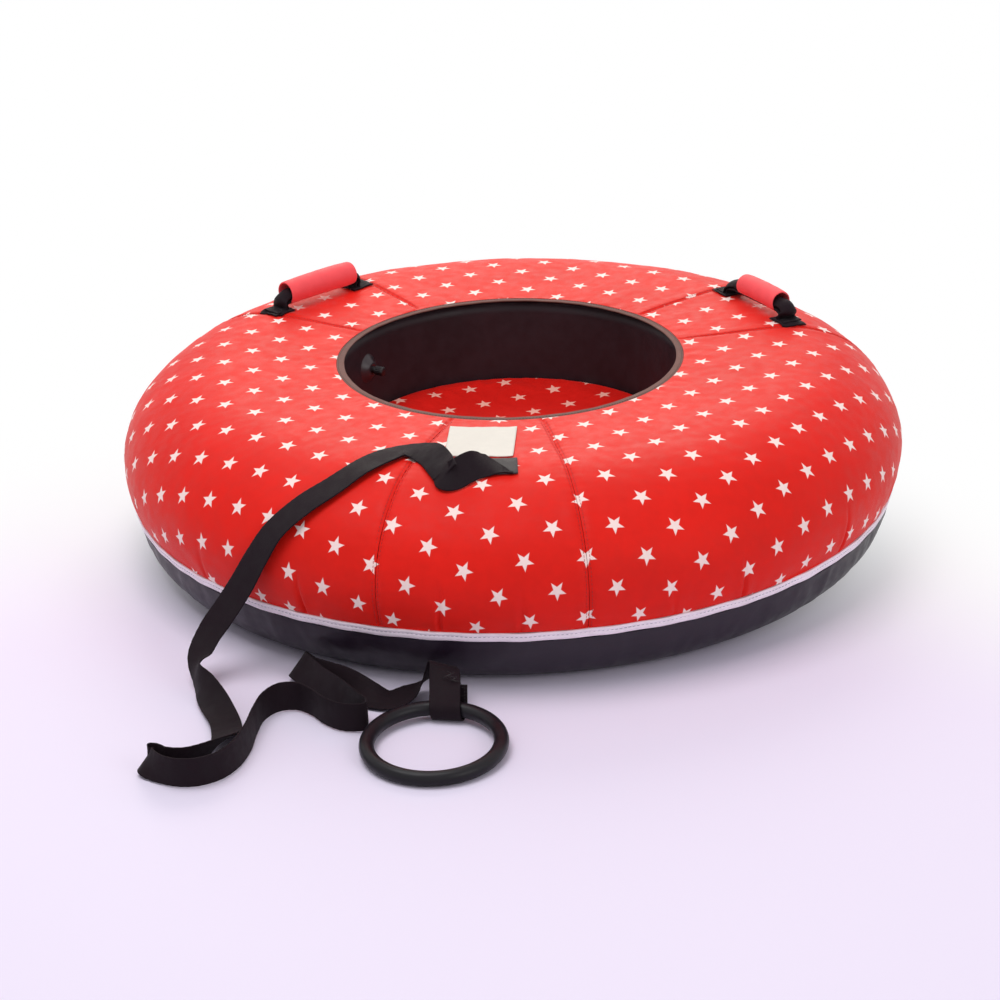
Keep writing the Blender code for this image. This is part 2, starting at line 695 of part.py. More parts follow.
def smooth_route(controls, rings_per_span: int):
    """Read points from a smooth curve through the control points and their directions."""
    before = (controls[0][0] * 2.0 - controls[1][0], controls[0][1])
    after = (controls[-1][0] * 2.0 - controls[-2][0], controls[-1][1])
    padded = [before] + controls + [after]
    points = []
    for i in range(len(controls) - 1):
        near = padded[i:i + 4]
        knots = [0.0]
        for one, two in zip(near, near[1:]):
            knots.append(knots[-1] + math.sqrt((two[0] - one[0]).length))
        for k in range(rings_per_span):
            t = knots[1] + (knots[2] - knots[1]) * k / rings_per_span
            points.append([spline([row[n] for row in near], knots, t) for n in (0, 1)])
    points.append(list(controls[-1]))
    return points


def spline(values, knots, t: float) -> Vector:
    """Catmull-Rom value between the middle two of four values, with knots spaced by the route."""
    level = values
    for reach in (1, 2):
        level = [
            level[i].lerp(level[i + 1], (t - knots[i]) / (knots[i + reach] - knots[i]))
            for i in range(len(level) - 1)
        ]
    return level[0].lerp(level[1], (t - knots[1]) / (knots[2] - knots[1]))


def ribbon(name: str, controls, rings_per_span: int, width: float, thickness: float,
           material, collection):
    """Loft a flat webbing through centre points, each with the direction across it.

    Its two faces are split along the same diagonals, so a twist leaves it one thickness.
    """
    route = smooth_route(controls, rings_per_span)
    bm = bmesh.new()
    loops = []
    for i, (point, across) in enumerate(route):
        along = (route[min(i + 1, len(route) - 1)][0] - route[max(i - 1, 0)][0]).normalized()
        across = (across - along * across.dot(along)).normalized()
        face = along.cross(across)
        corners = [
            point + across * (u * width / 2.0) + face * (v * thickness / 2.0)
            for u, v in ((-1, -1), (1, -1), (1, 1), (-1, 1))
        ]
        sink = max(0.0, FIT - min(corner.z for corner in corners))
        loops.append([bm.verts.new(corner + Vector((0.0, 0.0, sink))) for corner in corners])
    for one, two in zip(loops, loops[1:]):
        for k in (1, 3):
            m = (k + 1) % 4
            bm.faces.new((one[m], one[k], two[k], two[m]))
        for near, far in ((0, 1), (3, 2)):
            bm.faces.new((one[near], one[far], two[near]))
            bm.faces.new((one[far], two[far], two[near]))
    bm.faces.new(loops[0])
    bm.faces.new(list(reversed(loops[-1])))
    bmesh.ops.recalc_face_normals(bm, faces=bm.faces)
    mesh = bpy.data.meshes.new(name)
    bm.to_mesh(mesh)
    bm.free()
    return add_object(name, mesh, material, collection)


def ring_tilt() -> float:
    """Angle of the ring, which rests on the floor and on the strap's loop."""
    rise = hinge_height() - RING_TUBE
    return math.asin(rise / (2.0 * RING_RADIUS))


def hinge_height() -> float:
    """Height of the ring's section centre where the strap's loop holds it."""
    return RING_TUBE + LOOP_CLEARANCE + STRAP_THICKNESS + FIT


def loop_frame():
    """Centre of the loop, the way from the ring's centre to it, and the way across the strap."""
    azimuth = math.radians(RING_LOOP_AZIMUTH)
    outward = Vector((math.cos(azimuth), math.sin(azimuth), 0.0))
    across = Vector((math.sin(azimuth), -math.cos(azimuth), 0.0))
    reach = RING_RADIUS * math.cos(ring_tilt())
    centre = Vector((RING_CENTRE[0], RING_CENTRE[1], 0.0)) + outward * reach
    centre.z = hinge_height()
    return centre, outward, across


def strap_controls():
    """The route by hand, then the turn round the ring and the sewn-back end by formula."""
    centre, outward, across = loop_frame()
    up = Vector((0.0, 0.0, 1.0))
    reach = RING_TUBE + LOOP_CLEARANCE + STRAP_THICKNESS / 2.0
    controls = [(Vector(p), Vector(w)) for p, w in STRAP_ROUTE]
    span = LOOP_END_DEG - LOOP_START_DEG
    skew = across * TAIL_SKEW
    for i in range(LOOP_STEPS + 1):
        share = i / LOOP_STEPS
        angle = math.radians(LOOP_START_DEG + span * share)
        point = centre + (up * math.cos(angle) - outward * math.sin(angle)) * reach
        controls.append((point + skew * share, across))
    last = controls[-1][0]
    for share in (0.5, 1.0):
        controls.append((last + up * (TAIL_RISE * share) + outward * (TAIL_LEAN * share), across))
    return controls


def build_tow(materials, collection) -> None:
    """Tow strap in one length and the rubber ring in its sewn loop."""
    ribbon("tow_strap", strap_controls(), STRAP_RINGS_PER_SPAN, STRAP_WIDTH, STRAP_THICKNESS,
           materials["webbing"], collection)
    centre, outward, across = loop_frame()
    profile = []
    for i in range(RING_SECTION_STEPS):
        angle = math.tau * i / RING_SECTION_STEPS
        profile.append((
            RING_RADIUS + RING_TUBE * math.sin(angle),
            RING_TUBE * math.cos(angle),
        ))
    ring = turned("tow_ring", profile, RING_STEPS, True, materials["ring"], collection)
    tilt = Matrix.Rotation(ring_tilt(), 4, across)
    middle = centre - tilt.to_3x3() @ outward * RING_RADIUS
    ring.matrix_world = Matrix.Translation(middle) @ tilt


def handle_matrix(azimuth_deg: float, outset: float, twist_deg: float) -> Matrix:
    """Handle frame over the crest: X along the handle, Y inward, Z up."""
    place = math.radians(azimuth_deg)
    facing = math.radians(azimuth_deg + twist_deg)
    outward = Vector((math.cos(facing), math.sin(facing), 0.0))
    along = Vector((-math.sin(facing), math.cos(facing), 0.0))
    matrix = Matrix((along, -outward, Vector((0.0, 0.0, 1.0)))).transposed().to_4x4()
    radius = CREST_RADIUS + outset
    matrix.translation = (radius * math.cos(place), radius * math.sin(place), CREST_HEIGHT)
    return matrix


def handle_foot_height() -> float:
    """Height of the webbing's middle above the cover where it is sewn down."""
    return FIT + PATCH_SHEET + FIT * 2.0 + WEB_THICKNESS / 2.0


def handle_controls(place: Matrix, shift: float):
    """Webbing of a handle: sewn flat at each foot, it rises steeply into the sleeve."""
    foot = handle_foot_height()
    half = HANDLE_SPACING / 2.0
    mouth = SLEEVE_LENGTH / 2.0
    rise = SLEEVE_RISE
    side = [
        (half + WEB_TAIL, foot),
        (half - WEB_TAIL * 0.1, foot),
        (half - WEB_TAIL * 0.35, foot + rise * 0.10),
        (mouth + WEB_TAIL * 0.30, foot + rise * 0.42),
        (mouth - WEB_TAIL * 0.10, rise - foot * 0.15),
        (mouth - WEB_TAIL, rise),
    ]
    route = [(-t, h) for t, h in side] + [(t, h) for t, h in reversed(side)]
    across = place.to_3x3() @ Vector((0.0, 1.0, 0.0))
    moved = []
    for t, h in route:
        slide = shift * min(1.0, max(0.0, (h - foot) / (rise - foot)))
        moved.append((place @ Vector((t + slide, 0.0, h)), across))
    return moved


def build_handles(materials, collection) -> None:
    """Two handles: two sewn feet, the webbing and a tubular grip sleeve."""
    for side, azimuth, outset, twist, shift, length in HANDLES:
        place = handle_matrix(azimuth, outset, twist)
        ribbon(side + "_handle_strap", handle_controls(place, shift), STRAP_RINGS_PER_SPAN,
               HANDLE_WEB, WEB_THICKNESS, materials["webbing"], collection)
        bore = SLEEVE_RADIUS - SLEEVE_WALL
        half = length / 2.0
        edge = SLEEVE_ROUND
        profile = [
            (bore, half - edge),
            (bore + edge / 2.0, half),
            (SLEEVE_RADIUS - edge, half),
            (SLEEVE_RADIUS, half - edge),
            (SLEEVE_RADIUS, edge - half),
            (SLEEVE_RADIUS - edge, -half),
            (bore + edge / 2.0, -half),
            (bore, edge - half),
        ]
        sleeve = turned(side + "_handle_sleeve", profile, SLEEVE_STEPS, True, materials["sleeve"],
                        collection)
        turn = Matrix.Rotation(math.pi / 2.0, 4, "Y")
        sleeve.matrix_world = place @ Matrix.Translation((shift, 0.0, SLEEVE_RISE)) @ turn
        for end, sign in (("rear", 1.0), ("front", -1.0)):
            along = sign if side == "right" else -sign
            centre = place @ Vector((along * HANDLE_SPACING / 2.0, 0.0, 0.0))
            facing = math.radians(azimuth + twist)
            rows = patch_rows((centre.x, centre.y), (HANDLE_PATCH, HANDLE_PATCH), facing,
                              FIT + PATCH_SHEET, 4)
            sheet(side + "_" + end + "_foot_patch", rows, PATCH_SHEET, materials["webbing"],
                  collection)


def main() -> None:
    """Build the snow tube."""
    clear_scene()
    collection = make_collection("snow_tube")
    cutters = make_collection("cutters")
    materials = {
        "cover": make_material("red_star_fabric", (0.80, 0.035, 0.030), 0.55),
        "base": make_material("charcoal_coated_sheet", (0.028, 0.030, 0.036), 0.38),
        "piping": make_material("pale_piping", (0.72, 0.73, 0.76), 0.60),
        "binding": make_material("brown_binding_tape", (0.085, 0.055, 0.048), 0.70),
        "rubber": make_material("butyl_rubber", (0.018, 0.013, 0.013), 0.45),
        "stem": make_material("valve_rubber", (0.020, 0.020, 0.021), 0.50),
        "brass": make_material("brass", (0.78, 0.57, 0.26), 0.30, 1.0),
        "foam": make_material("seat_foam", (0.62, 0.62, 0.60), 0.90),
        "sleeve": make_material("red_foam_sleeve", (0.90, 0.060, 0.085), 0.60),
        "webbing": make_material("black_webbing", (0.016, 0.013, 0.015), 0.75),
        "label": make_material("white_label", (0.90, 0.90, 0.88), 0.65),
        "ring": make_material("ring_rubber", (0.020, 0.020, 0.022), 0.42),
    }
    build_tube(materials, collection, cutters)
    build_valve(materials, collection, cutters)
    build_panels(materials, collection)
    build_binding(materials, collection)
    build_base(materials, collection)
    build_piping(materials, collection)
    build_seat(materials, collection)
    build_front_trim(materials, collection)
    build_handles(materials, collection)
    build_tow(materials, collection)


main()
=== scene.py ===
"""Snow tube, dressed for its picture: star-print cover, base, grips, tow strap and ring.

Metres, +Z up, the strap leaves towards -Y. Every surface is a grid of points worked out from
sizes in words, and every finish is made of nodes.
"""
import json
import logging
import math
from dataclasses import dataclass
from enum import Enum
from typing import Union

import bmesh
import bpy
import numpy as np
from mathutils import Matrix, Vector

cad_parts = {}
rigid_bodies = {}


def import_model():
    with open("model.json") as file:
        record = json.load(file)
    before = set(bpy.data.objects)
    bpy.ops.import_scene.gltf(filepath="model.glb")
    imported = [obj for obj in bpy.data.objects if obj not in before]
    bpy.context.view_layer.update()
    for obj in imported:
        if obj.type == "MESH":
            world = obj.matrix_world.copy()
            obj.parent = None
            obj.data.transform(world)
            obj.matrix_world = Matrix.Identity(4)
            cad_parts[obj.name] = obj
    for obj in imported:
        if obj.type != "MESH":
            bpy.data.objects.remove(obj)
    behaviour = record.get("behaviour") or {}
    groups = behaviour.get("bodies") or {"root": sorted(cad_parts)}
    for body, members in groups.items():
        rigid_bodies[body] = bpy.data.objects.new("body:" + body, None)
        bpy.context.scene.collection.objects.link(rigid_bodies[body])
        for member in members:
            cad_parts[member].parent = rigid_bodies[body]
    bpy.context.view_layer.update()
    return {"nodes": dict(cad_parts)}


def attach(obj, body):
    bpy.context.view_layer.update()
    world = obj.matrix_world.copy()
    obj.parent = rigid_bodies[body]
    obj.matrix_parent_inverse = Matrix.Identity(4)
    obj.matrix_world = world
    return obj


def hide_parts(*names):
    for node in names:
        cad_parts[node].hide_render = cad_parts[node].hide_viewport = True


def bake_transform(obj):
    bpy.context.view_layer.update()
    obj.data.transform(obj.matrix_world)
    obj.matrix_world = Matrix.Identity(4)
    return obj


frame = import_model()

LOG = logging.getLogger("snow_tube")
UV_NAME = "cloth"
WELD = 0.000002
# Rates over both coordinates and gain of each sine in a slow uneven wave, and what they add up to
DRIFT_WAVES = ((1.0, 0.37, 1.0), (1.73, -1.31, 0.7), (-0.61, 2.17, 0.6), (2.93, 1.09, 0.4),
               (0.47, -3.3, 0.3))
DRIFT_TOTAL = 2.2


class Texture(Enum):
    """What a finish shows close up."""

    STARS = "stars"
    CLOTH = "cloth"
    WEBBING = "webbing"
    RUBBER = "rubber"
    SHEET = "sheet"
    FOAM = "foam"
    METAL = "metal"
    THREAD = "thread"


@dataclass(frozen=True)
class Finish:
    """Look of one material. Colours are linear, lengths in metres."""

    name: str
    slot: str
    colour: tuple
    roughness: float
    texture: Texture
    depth: float = 0.0
    grain: float = 0.0006
    mottle: float = 0.06
    metallic: float = 0.0
    sheen: float = 0.0
    specular: float = 0.5
    # Colour of the print; in the seat's copy it also carries painted red bounce light
    ink: tuple = (0.97, 0.76, 0.72)


COVER = Finish("red_star_fabric", "cover_fabric", (0.76, 0.011, 0.005), 0.50, Texture.STARS,
               0.00005, 0.0007, 0.05, sheen=0.06, specular=0.15)
# The cover's cloth for the seat, darker and with pinker stars: painted shade and painted red bounce
# light inside the opening
SHADED_SEAT_COVER = Finish("red_seat_fabric_painted_shade", "cover_fabric", (0.70, 0.010, 0.006), 0.50, Texture.STARS,
                    0.00005, 0.0007, 0.05, sheen=0.04, specular=0.10, ink=(0.95, 0.44, 0.36))
BASE = Finish("charcoal_sheet", "base_sheet", (0.016, 0.0085, 0.018), 0.34, Texture.SHEET,
              0.00012, 0.004, 0.10, specular=0.38)
PIPING = Finish("pale_piping", "piping_fabric", (0.95, 0.83, 0.91), 0.60, Texture.CLOTH,
                0.00008, 0.0008, 0.06, sheen=0.10)
BINDING = Finish("brown_tape", "binding_tape", (0.165, 0.072, 0.060), 0.72, Texture.CLOTH,
                 0.00012, 0.0009, 0.10, sheen=0.10, specular=0.25)
TUBE_RUBBER = Finish("butyl_rubber", "butyl_rubber", (0.031, 0.018, 0.023), 0.46, Texture.RUBBER,
                     0.00008, 0.010, 0.16, specular=0.20)
VALVE_RUBBER = Finish("valve_rubber", "valve_rubber", (0.016, 0.010, 0.012), 0.40, Texture.RUBBER,
                      0.00005, 0.003, 0.08, specular=0.35)
# The ring's rubber in a lighter colour: a painted highlight on the valve's dome
BOSS_RUBBER_PAINTED_HIGHLIGHT = Finish("boss_rubber_painted_highlight", "valve_rubber", (0.040, 0.026, 0.032), 0.36, Texture.RUBBER,
                     0.00005, 0.005, 0.08, specular=0.50)
BRASS = Finish("valve_brass", "valve_brass", (0.78, 0.57, 0.26), 0.30, Texture.METAL,
               0.00002, 0.001, 0.05, metallic=1.0)
FOAM = Finish("seat_foam", "seat_foam", (0.62, 0.62, 0.60), 0.92, Texture.FOAM,
              0.0004, 0.0022, 0.08)
SLEEVE = Finish("red_grip_foam", "sleeve_foam", (0.99, 0.100, 0.115), 0.60, Texture.FOAM,
                0.00010, 0.0011, 0.05, sheen=0.12, specular=0.20)
WEBBING = Finish("black_webbing", "webbing", (0.0078, 0.0026, 0.0052), 0.62, Texture.WEBBING,
                 0.00025, 0.0016, 0.20, sheen=0.02, specular=0.12)
ANCHOR_CLOTH = Finish("grey_webbing", "webbing", (0.036, 0.030, 0.033), 0.58, Texture.CLOTH,
                      0.00014, 0.0010, 0.12, sheen=0.06, specular=0.25)
LABEL = Finish("white_label", "label_tape", (0.77, 0.72, 0.66), 0.62, Texture.CLOTH,
               0.00005, 0.0005, 0.04, specular=0.25)
RING_RUBBER = Finish("ring_rubber", "ring_rubber", (0.0050, 0.0035, 0.0065), 0.38, Texture.RUBBER,
                     0.00005, 0.004, 0.10, specular=0.24)
RED_THREAD, GREY_THREAD, DARK_THREAD, LABEL_THREAD = (
    Finish(name, slot, colour, 0.60, Texture.THREAD, 0.00004, 0.0006, 0.10)
    for name, slot, colour in (("red_thread", "cover_fabric", (0.40, 0.012, 0.012)),
                               ("grey_thread", "piping_fabric", (0.30, 0.31, 0.37)),
                               ("dark_thread", "webbing", (0.020, 0.017, 0.018)),
                               ("pale_thread", "label_tape", (0.60, 0.60, 0.60))))


@dataclass(frozen=True)
class CoverSize:
    """Outer face of the cover, as in the solid model."""

    outer_radius: float = 0.500
    crest_radius: float = 0.3545
    crest_height: float = 0.2322
    widest_height: float = 0.1214
    opening_radius: float = 0.222
    opening_drop: float = 0.0030
    skirt_radius: float = 0.4902
    skirt_height: float = 0.0788
    fabric: float = 0.0012
    seam_gap: float = 0.0005


@dataclass(frozen=True)
class Panel:
    """A sewn panel: its node, its seams in degrees from +X, and how its print lies."""

    node: str
    first: float
    last: float
    turn_deg: float
    shift: tuple


PANELS = (
    Panel("panel_front", -109.0, -81.0, 4.75, (0.4642, 0.4484)),
    Panel("panel_front_right", -81.0, 10.5, 7.0, (0.2057, -0.2927)),
    Panel("panel_right_handle", 10.5, 38.5, 6.25, (0.4104, -0.2845)),
    Panel("panel_back", 38.5, 122.5, 5.0, (0.1570, -0.2406)),
    Panel("panel_left_handle", 122.5, 150.5, 3.0, (0.2460, -0.2079)),
    Panel("panel_front_left", 150.5, 251.0, 5.25, (0.4370, 0.5050)),
)
STAR_PITCH = 0.0511
STAR_RADIUS = 0.0116

# Tucks where the cover is gathered into the piping, in degrees from +X
TUCKS = (-138.5, -120.0, -100.8, -90.0, -69.0, -58.5, -38.6, -20.5, -1.5, 19.5, 46.0, 64.0, 82.5,
         101.0, 118.0, 133.0, 163.0, 181.5, 199.5)
DEEP_TUCKS = (-120.0, -100.8, -58.5, -38.6, 64.0, 163.0)


class Grid:
    """A surface through a grid of points, with a place on the cloth for each point."""

    def __init__(self, points: np.ndarray, cloth: np.ndarray = None, ring_rows: bool = False,
                 ring_columns: bool = False) -> None:
        """Keep the grid.

        Args:
            points: rows x columns x 3 places.
            cloth: rows x columns x 2 places on the flat cloth, or none.
            ring_rows: whether the last row joins the first.
            ring_columns: whether the last column joins the first.
        """
        self.points = points
        self.cloth = cloth if cloth is not None else points[..., :2]
        self.ring_rows = ring_rows
        self.ring_columns = ring_columns

    def faces(self) -> np.ndarray:
        """Number the grid's four-sided faces.

        Returns:
            Indices into its flattened points, n x 4.
        """
        rows, columns = self.points.shape[:2]
        i = np.arange(rows if self.ring_rows else rows - 1)[:, None]
        j = np.arange(columns if self.ring_columns else columns - 1)[None, :]
        i_next = (i + 1) % rows
        j_next = (j + 1) % columns
        corners = (i * columns + j, i * columns + j_next, i_next * columns + j_next,
                   i_next * columns + j)
        return np.stack(np.broadcast_arrays(*corners), axis=-1).reshape(-1, 4)

    def normals(self) -> np.ndarray:
        """Cross the steps along rows and columns at each point.

        Returns:
            Unit normals to the side that the faces show.
        """
        p = self.points
        down, along = [np.roll(p, -1, k) - np.roll(p, 1, k) if ring else np.gradient(p, axis=k)
                       for k, ring in enumerate((self.ring_rows, self.ring_columns))]
        return unit(np.cross(along, down))

    def swell(self, out: np.ndarray) -> None:
        """Move every point away from the Z axis by its own distance."""
        radius = np.maximum(np.hypot(self.points[..., 0], self.points[..., 1]), 1e-9)
        self.points[..., :2] *= (1.0 + out / radius)[..., None]

    def hemmed(self, thickness: float) -> "Grid":
        """Turn the open borders in.

        Args:
            thickness: how far, along the normals.

        Returns:
            The grid with one more row or column at each open border.
        """
        inward = self.points - self.normals() * thickness
        points, cloth = self.points, self.cloth
        if not self.ring_rows:
            points = np.concatenate((inward[:1], points, inward[-1:]), 0)
            inward = np.concatenate((inward[:1], inward, inward[-1:]), 0)
            cloth = np.concatenate((cloth[:1], cloth, cloth[-1:]), 0)
        if not self.ring_columns:
            points = np.concatenate((inward[:, :1], points, inward[:, -1:]), 1)
            cloth = np.concatenate((cloth[:, :1], cloth, cloth[:, -1:]), 1)
        return Grid(points, cloth, self.ring_rows, self.ring_columns)


def add_piece(name: str, finish: Finish, points: np.ndarray, faces: np.ndarray,
              cloth: np.ndarray = None, sharp_deg: float = 50.0) -> bpy.types.Object:
    """Add a smooth-shaded mesh piece.

    Args:
        name: the piece's name.
        finish: its finish, which also names the record's material slot.
        points: n x 3 places in the shared frame.
        faces: n x 4 indices.
        cloth: n x 2 places on the flat cloth, in metres.
        sharp_deg: edges sharper than this stay sharp.

    Returns:
        The new object.
    """
    mesh = bpy.data.meshes.new(name)
    mesh.from_pydata(points.reshape(-1, 3).tolist(), [], np.asarray(faces).tolist())
    if cloth is not None:
        layer = mesh.uv_layers.new(name=UV_NAME)
        corner = np.empty(len(mesh.loops), dtype=np.int32)
        mesh.loops.foreach_get("vertex_index", corner)
        layer.data.foreach_set("uv", cloth.reshape(-1, 2)[corner].astype(np.float32).ravel())
    close_poles(mesh)
    mesh.shade_smooth()
    mesh.set_sharp_from_angle(angle=math.radians(sharp_deg))
    piece = bpy.data.objects.new(name, mesh)
    bpy.context.scene.collection.objects.link(piece)
    piece.data.materials.append(material_for(finish))
    return piece


def close_poles(mesh: bpy.types.Mesh) -> None:
    """Weld points that share one place, so poles and hems are closed.

    Args:
        mesh: the mesh, changed in place.
    """
    work = bmesh.new()
    work.from_mesh(mesh)
    bmesh.ops.remove_doubles(work, verts=work.verts[:], dist=WELD)
    work.to_mesh(mesh)
    work.free()


def add_grid(name: str, finish: Finish, grid: Grid, sharp_deg: float = 50.0) -> bpy.types.Object:
    """Add a grid as a piece, with its cloth coordinates."""
    return add_piece(name, finish, grid.points, grid.faces(), grid.cloth, sharp_deg)


def merge(parts: list) -> tuple:
    """Join blocks of points and faces.

    Args:
        parts: (points, faces) pairs, or grids.

    Returns:
        One array of points and one of faces.
    """
    points, faces, first = [], [], 0
    for part in parts:
        block = part.points.reshape(-1, 3) if isinstance(part, Grid) else part[0]
        quads = part.faces() if isinstance(part, Grid) else part[1]
        points.append(block)
        faces.append(quads + first)
        first += len(block)
    return np.concatenate(points), np.concatenate(faces)


def ease(x: np.ndarray) -> np.ndarray:
    """Return a smooth step from 0 to 1."""
    x = np.clip(x, 0.0, 1.0)
    return x * x * (3.0 - 2.0 * x)


def bump(x: np.ndarray, width: float) -> np.ndarray:
    """Return a smooth bell of the given half width."""
    return np.exp(-((x / width) ** 2))


def drift(a: np.ndarray, b: np.ndarray, seed: float) -> np.ndarray:
    """Return a slow uneven wave: a sum of sines of both coordinates at unlike rates.

    Args:
        a: the first coordinate, in radians.
        b: the second coordinate, in radians.
        seed: which wave.

    Returns:
        Values between about -1 and 1.
    """
    total = np.zeros(np.broadcast(a, b).shape)
    for k, (rate_a, rate_b, gain) in enumerate(DRIFT_WAVES):
        total += gain * np.sin(rate_a * a + rate_b * b + seed * (k + 1.7) + k)
    return total / DRIFT_TOTAL


def unit(v: np.ndarray) -> np.ndarray:
    """Return vectors scaled to length one."""
    return v / np.maximum(np.linalg.norm(v, axis=-1, keepdims=True), 1e-12)


def length_of(points: np.ndarray) -> np.ndarray:
    """Return the run along a line of points."""
    return np.r_[0.0, np.cumsum(np.linalg.norm(np.diff(points, axis=0), axis=1))]


def circle(steps: int) -> np.ndarray:
    """Return equal angles round a full turn, in radians."""
    return np.arange(steps) * math.tau / steps


def turned_grid(profile: np.ndarray, steps: int, closed: bool = False) -> Grid:
    """Turn a profile about Z, with the cloth laid along the turn.

    A point at radius r and height h becomes (r cos a, r sin a, h) at each angle a.

    Args:
        profile: n x 2 radii and heights.
        steps: how many angles.
        closed: whether the profile's last point joins its first.

    Returns:
        The surface.
    """
    angle = circle(steps)
    radius, height = profile[:, 0], profile[:, 1]
    points = np.stack((radius[:, None] * np.cos(angle), radius[:, None] * np.sin(angle),
                       np.broadcast_to(height[:, None], (len(radius), steps))), -1)
    run = length_of(profile)
    cloth = np.stack(np.broadcast_arrays(angle[None, :] * radius.max(), run[:, None]), -1)
    return Grid(points, cloth, ring_rows=closed, ring_columns=True)


@dataclass(frozen=True)
class Stitching:
    """Rows of sewing thread, each stitch a short low arch."""

    pitch: float
    length: float
    radius: float
    rings: int = 5
    sides: int = 6
    arch: tuple = (-0.6, 0.7, 1.1, 0.7, -0.6)
    girth: tuple = (0.45, 0.95, 1.0, 0.95, 0.45)

    def row(self, path: np.ndarray, normal: np.ndarray) -> tuple:
        """Return points and faces of stitches along a path.

        Args:
            path: n x 3 points of the seam on the surface.
            normal: n x 3 unit normals of the surface there.

        Returns:
            Points and four-sided faces.
        """
        run = length_of(path)
        count = max(1, int(run[-1] / self.pitch))
        start = (np.arange(count) + 0.5) * run[-1] / count
        rings, sides = self.rings, self.sides
        offset = np.linspace(-0.5, 0.5, rings) * self.length
        place = np.clip(start[:, None] + offset[None, :], 0.0, run[-1])
        centre = np.stack([np.interp(place, run, path[:, k]) for k in range(3)], -1)
        up = unit(np.stack([np.interp(place, run, normal[:, k]) for k in range(3)], -1))
        along = unit(np.gradient(centre, axis=1))
        side = unit(np.cross(along, up))
        arch = np.array(self.arch)[None, :, None] * self.radius
        fat = np.array(self.girth)[None, :, None, None] * self.radius
        centre = centre + up * arch
        angle = circle(sides)
        around = side[:, :, None] * np.cos(angle)[:, None] + up[:, :, None] * np.sin(angle)[:, None]
        points = centre[:, :, None] + around * fat
        quads = Grid(points[0], ring_columns=True).faces()
        faces = quads[None] + (np.arange(count) * rings * sides)[:, None, None]
        return points.reshape(-1, 3), faces.reshape(-1, 4)

    def sew(self, name: str, finish: Finish, rows: list, body: str) -> bpy.types.Object:
        """Add rows of stitches as one piece that rides on a body.

        Args:
            name: the piece's name.
            finish: the thread.
            rows: pairs of a path and its normals.
            body: the body that carries them.

        Returns:
            The piece.
        """
        points, faces = merge([self.row(path, normal) for path, normal in rows])
        piece = add_piece(name, finish, points, faces)
        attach(piece, body)
        return piece


Value = Union[float, tuple, bpy.types.NodeSocket]


class NodeChain:
    """Short way to write a material's nodes."""

    def __init__(self, owner: bpy.types.ID) -> None:
        """Start from the tree of a material or a world, and the shader that a material has."""
        self.tree = owner.node_tree
        self.shader = self.tree.nodes.get("Principled BSDF")

    def add(self, kind: str, **settings: object) -> bpy.types.Node:
        """Add a node.

        Args:
            kind: the node's type.
            **settings: its properties by name.

        Returns:
            The node.
        """
        node = self.tree.nodes.new(kind)
        for name, value in settings.items():
            setattr(node, name, value)
        return node

    def link(self, source: bpy.types.NodeSocket, target: bpy.types.NodeSocket) -> None:
        """Join an output socket to an input socket."""
        self.tree.links.new(source, target)

    def feed(self, value: Value, socket: bpy.types.NodeSocket) -> None:
        """Put a number on a socket, or join another node's output to it.

        Args:
            value: a number, a colour or an output.
            socket: the input to set.
        """
        if isinstance(value, bpy.types.NodeSocket):
            self.link(value, socket)
        else:
            socket.default_value = value

    def math(self, operation: str, a: Value, b: Value = 0.0,
             c: Value = 0.0) -> bpy.types.NodeSocket:
        """Work out one step of a formula.

        Args:
            operation: the Math node's operation.
            a: its first value.
            b: its second value.
            c: its third value.

        Returns:
            The result's output.
        """
        node = self.add("ShaderNodeMath", operation=operation)
        for value, socket in zip((a, b, c), node.inputs):
            self.feed(value, socket)
        return node.outputs[0]

    def ramp(self, value: Value, low: float, high: float, to_low: float = 0.0,
             to_high: float = 1.0) -> bpy.types.NodeSocket:
        """Map a value smoothly from one range to another, held at its ends.

        Args:
            value: what is mapped.
            low: the value that gives to_low.
            high: the value that gives to_high.
            to_low: the result at the low end.
            to_high: the result at the high end.

        Returns:
            The result's output.
        """
        node = self.add("ShaderNodeMapRange", interpolation_type="SMOOTHSTEP")
        for given, socket in zip((value, low, high, to_low, to_high), node.inputs):
            self.feed(given, socket)
        return node.outputs[0]

    def noise(self, vector: bpy.types.NodeSocket, scale: float, detail: float = 3.0,
              roughness: float = 0.55) -> bpy.types.NodeSocket:
        """Read a noise texture.

        Args:
            vector: where it is read.
            scale: cells a metre.
            detail: how many finer layers it has.
            roughness: how strong they are.

        Returns:
            Its value's output.
        """
        node = self.add("ShaderNodeTexNoise")
        self.link(vector, node.inputs["Vector"])
        node.inputs["Scale"].default_value = scale
        node.inputs["Detail"].default_value = detail
        node.inputs["Roughness"].default_value = roughness
        return node.outputs["Fac"]

    def mix(self, share: Value, a: Value, b: Value) -> bpy.types.NodeSocket:
        """Mix two colours.

        Args:
            share: how much of the second.
            a: the first colour.
            b: the second colour.

        Returns:
            The mixed colour's output.
        """
        node = self.add("ShaderNodeMix", data_type="RGBA")
        self.feed(share, node.inputs["Factor"])
        self.feed(a, node.inputs["A"])
        self.feed(b, node.inputs["B"])
        return node.outputs["Result"]

    def seen(self) -> bpy.types.NodeSocket:
        """Tell the rays that show a surface from those that only light others.

        Returns:
            An output that is 1 on camera, glossy and transmission rays, and 0 on the others.
        """
        path = self.add("ShaderNodeLightPath")
        return self.math("MAXIMUM", path.outputs["Is Camera Ray"],
                         self.math("MAXIMUM", path.outputs["Is Glossy Ray"],
                                   path.outputs["Is Transmission Ray"]))

    def finish(self, share: Value, first: bpy.types.Node, second: bpy.types.Node,
               output: str) -> None:
        """Mix two shaders and join them to the tree's output.

        Args:
            share: how much of the second.
            first: the first shader.
            second: the second shader.
            output: the name of the output node.
        """
        blend = self.add("ShaderNodeMixShader")
        for value, socket in zip((share, first.outputs[0], second.outputs[0]), blend.inputs):
            self.feed(value, socket)
        self.link(blend.outputs[0], self.tree.nodes[output].inputs["Surface"])


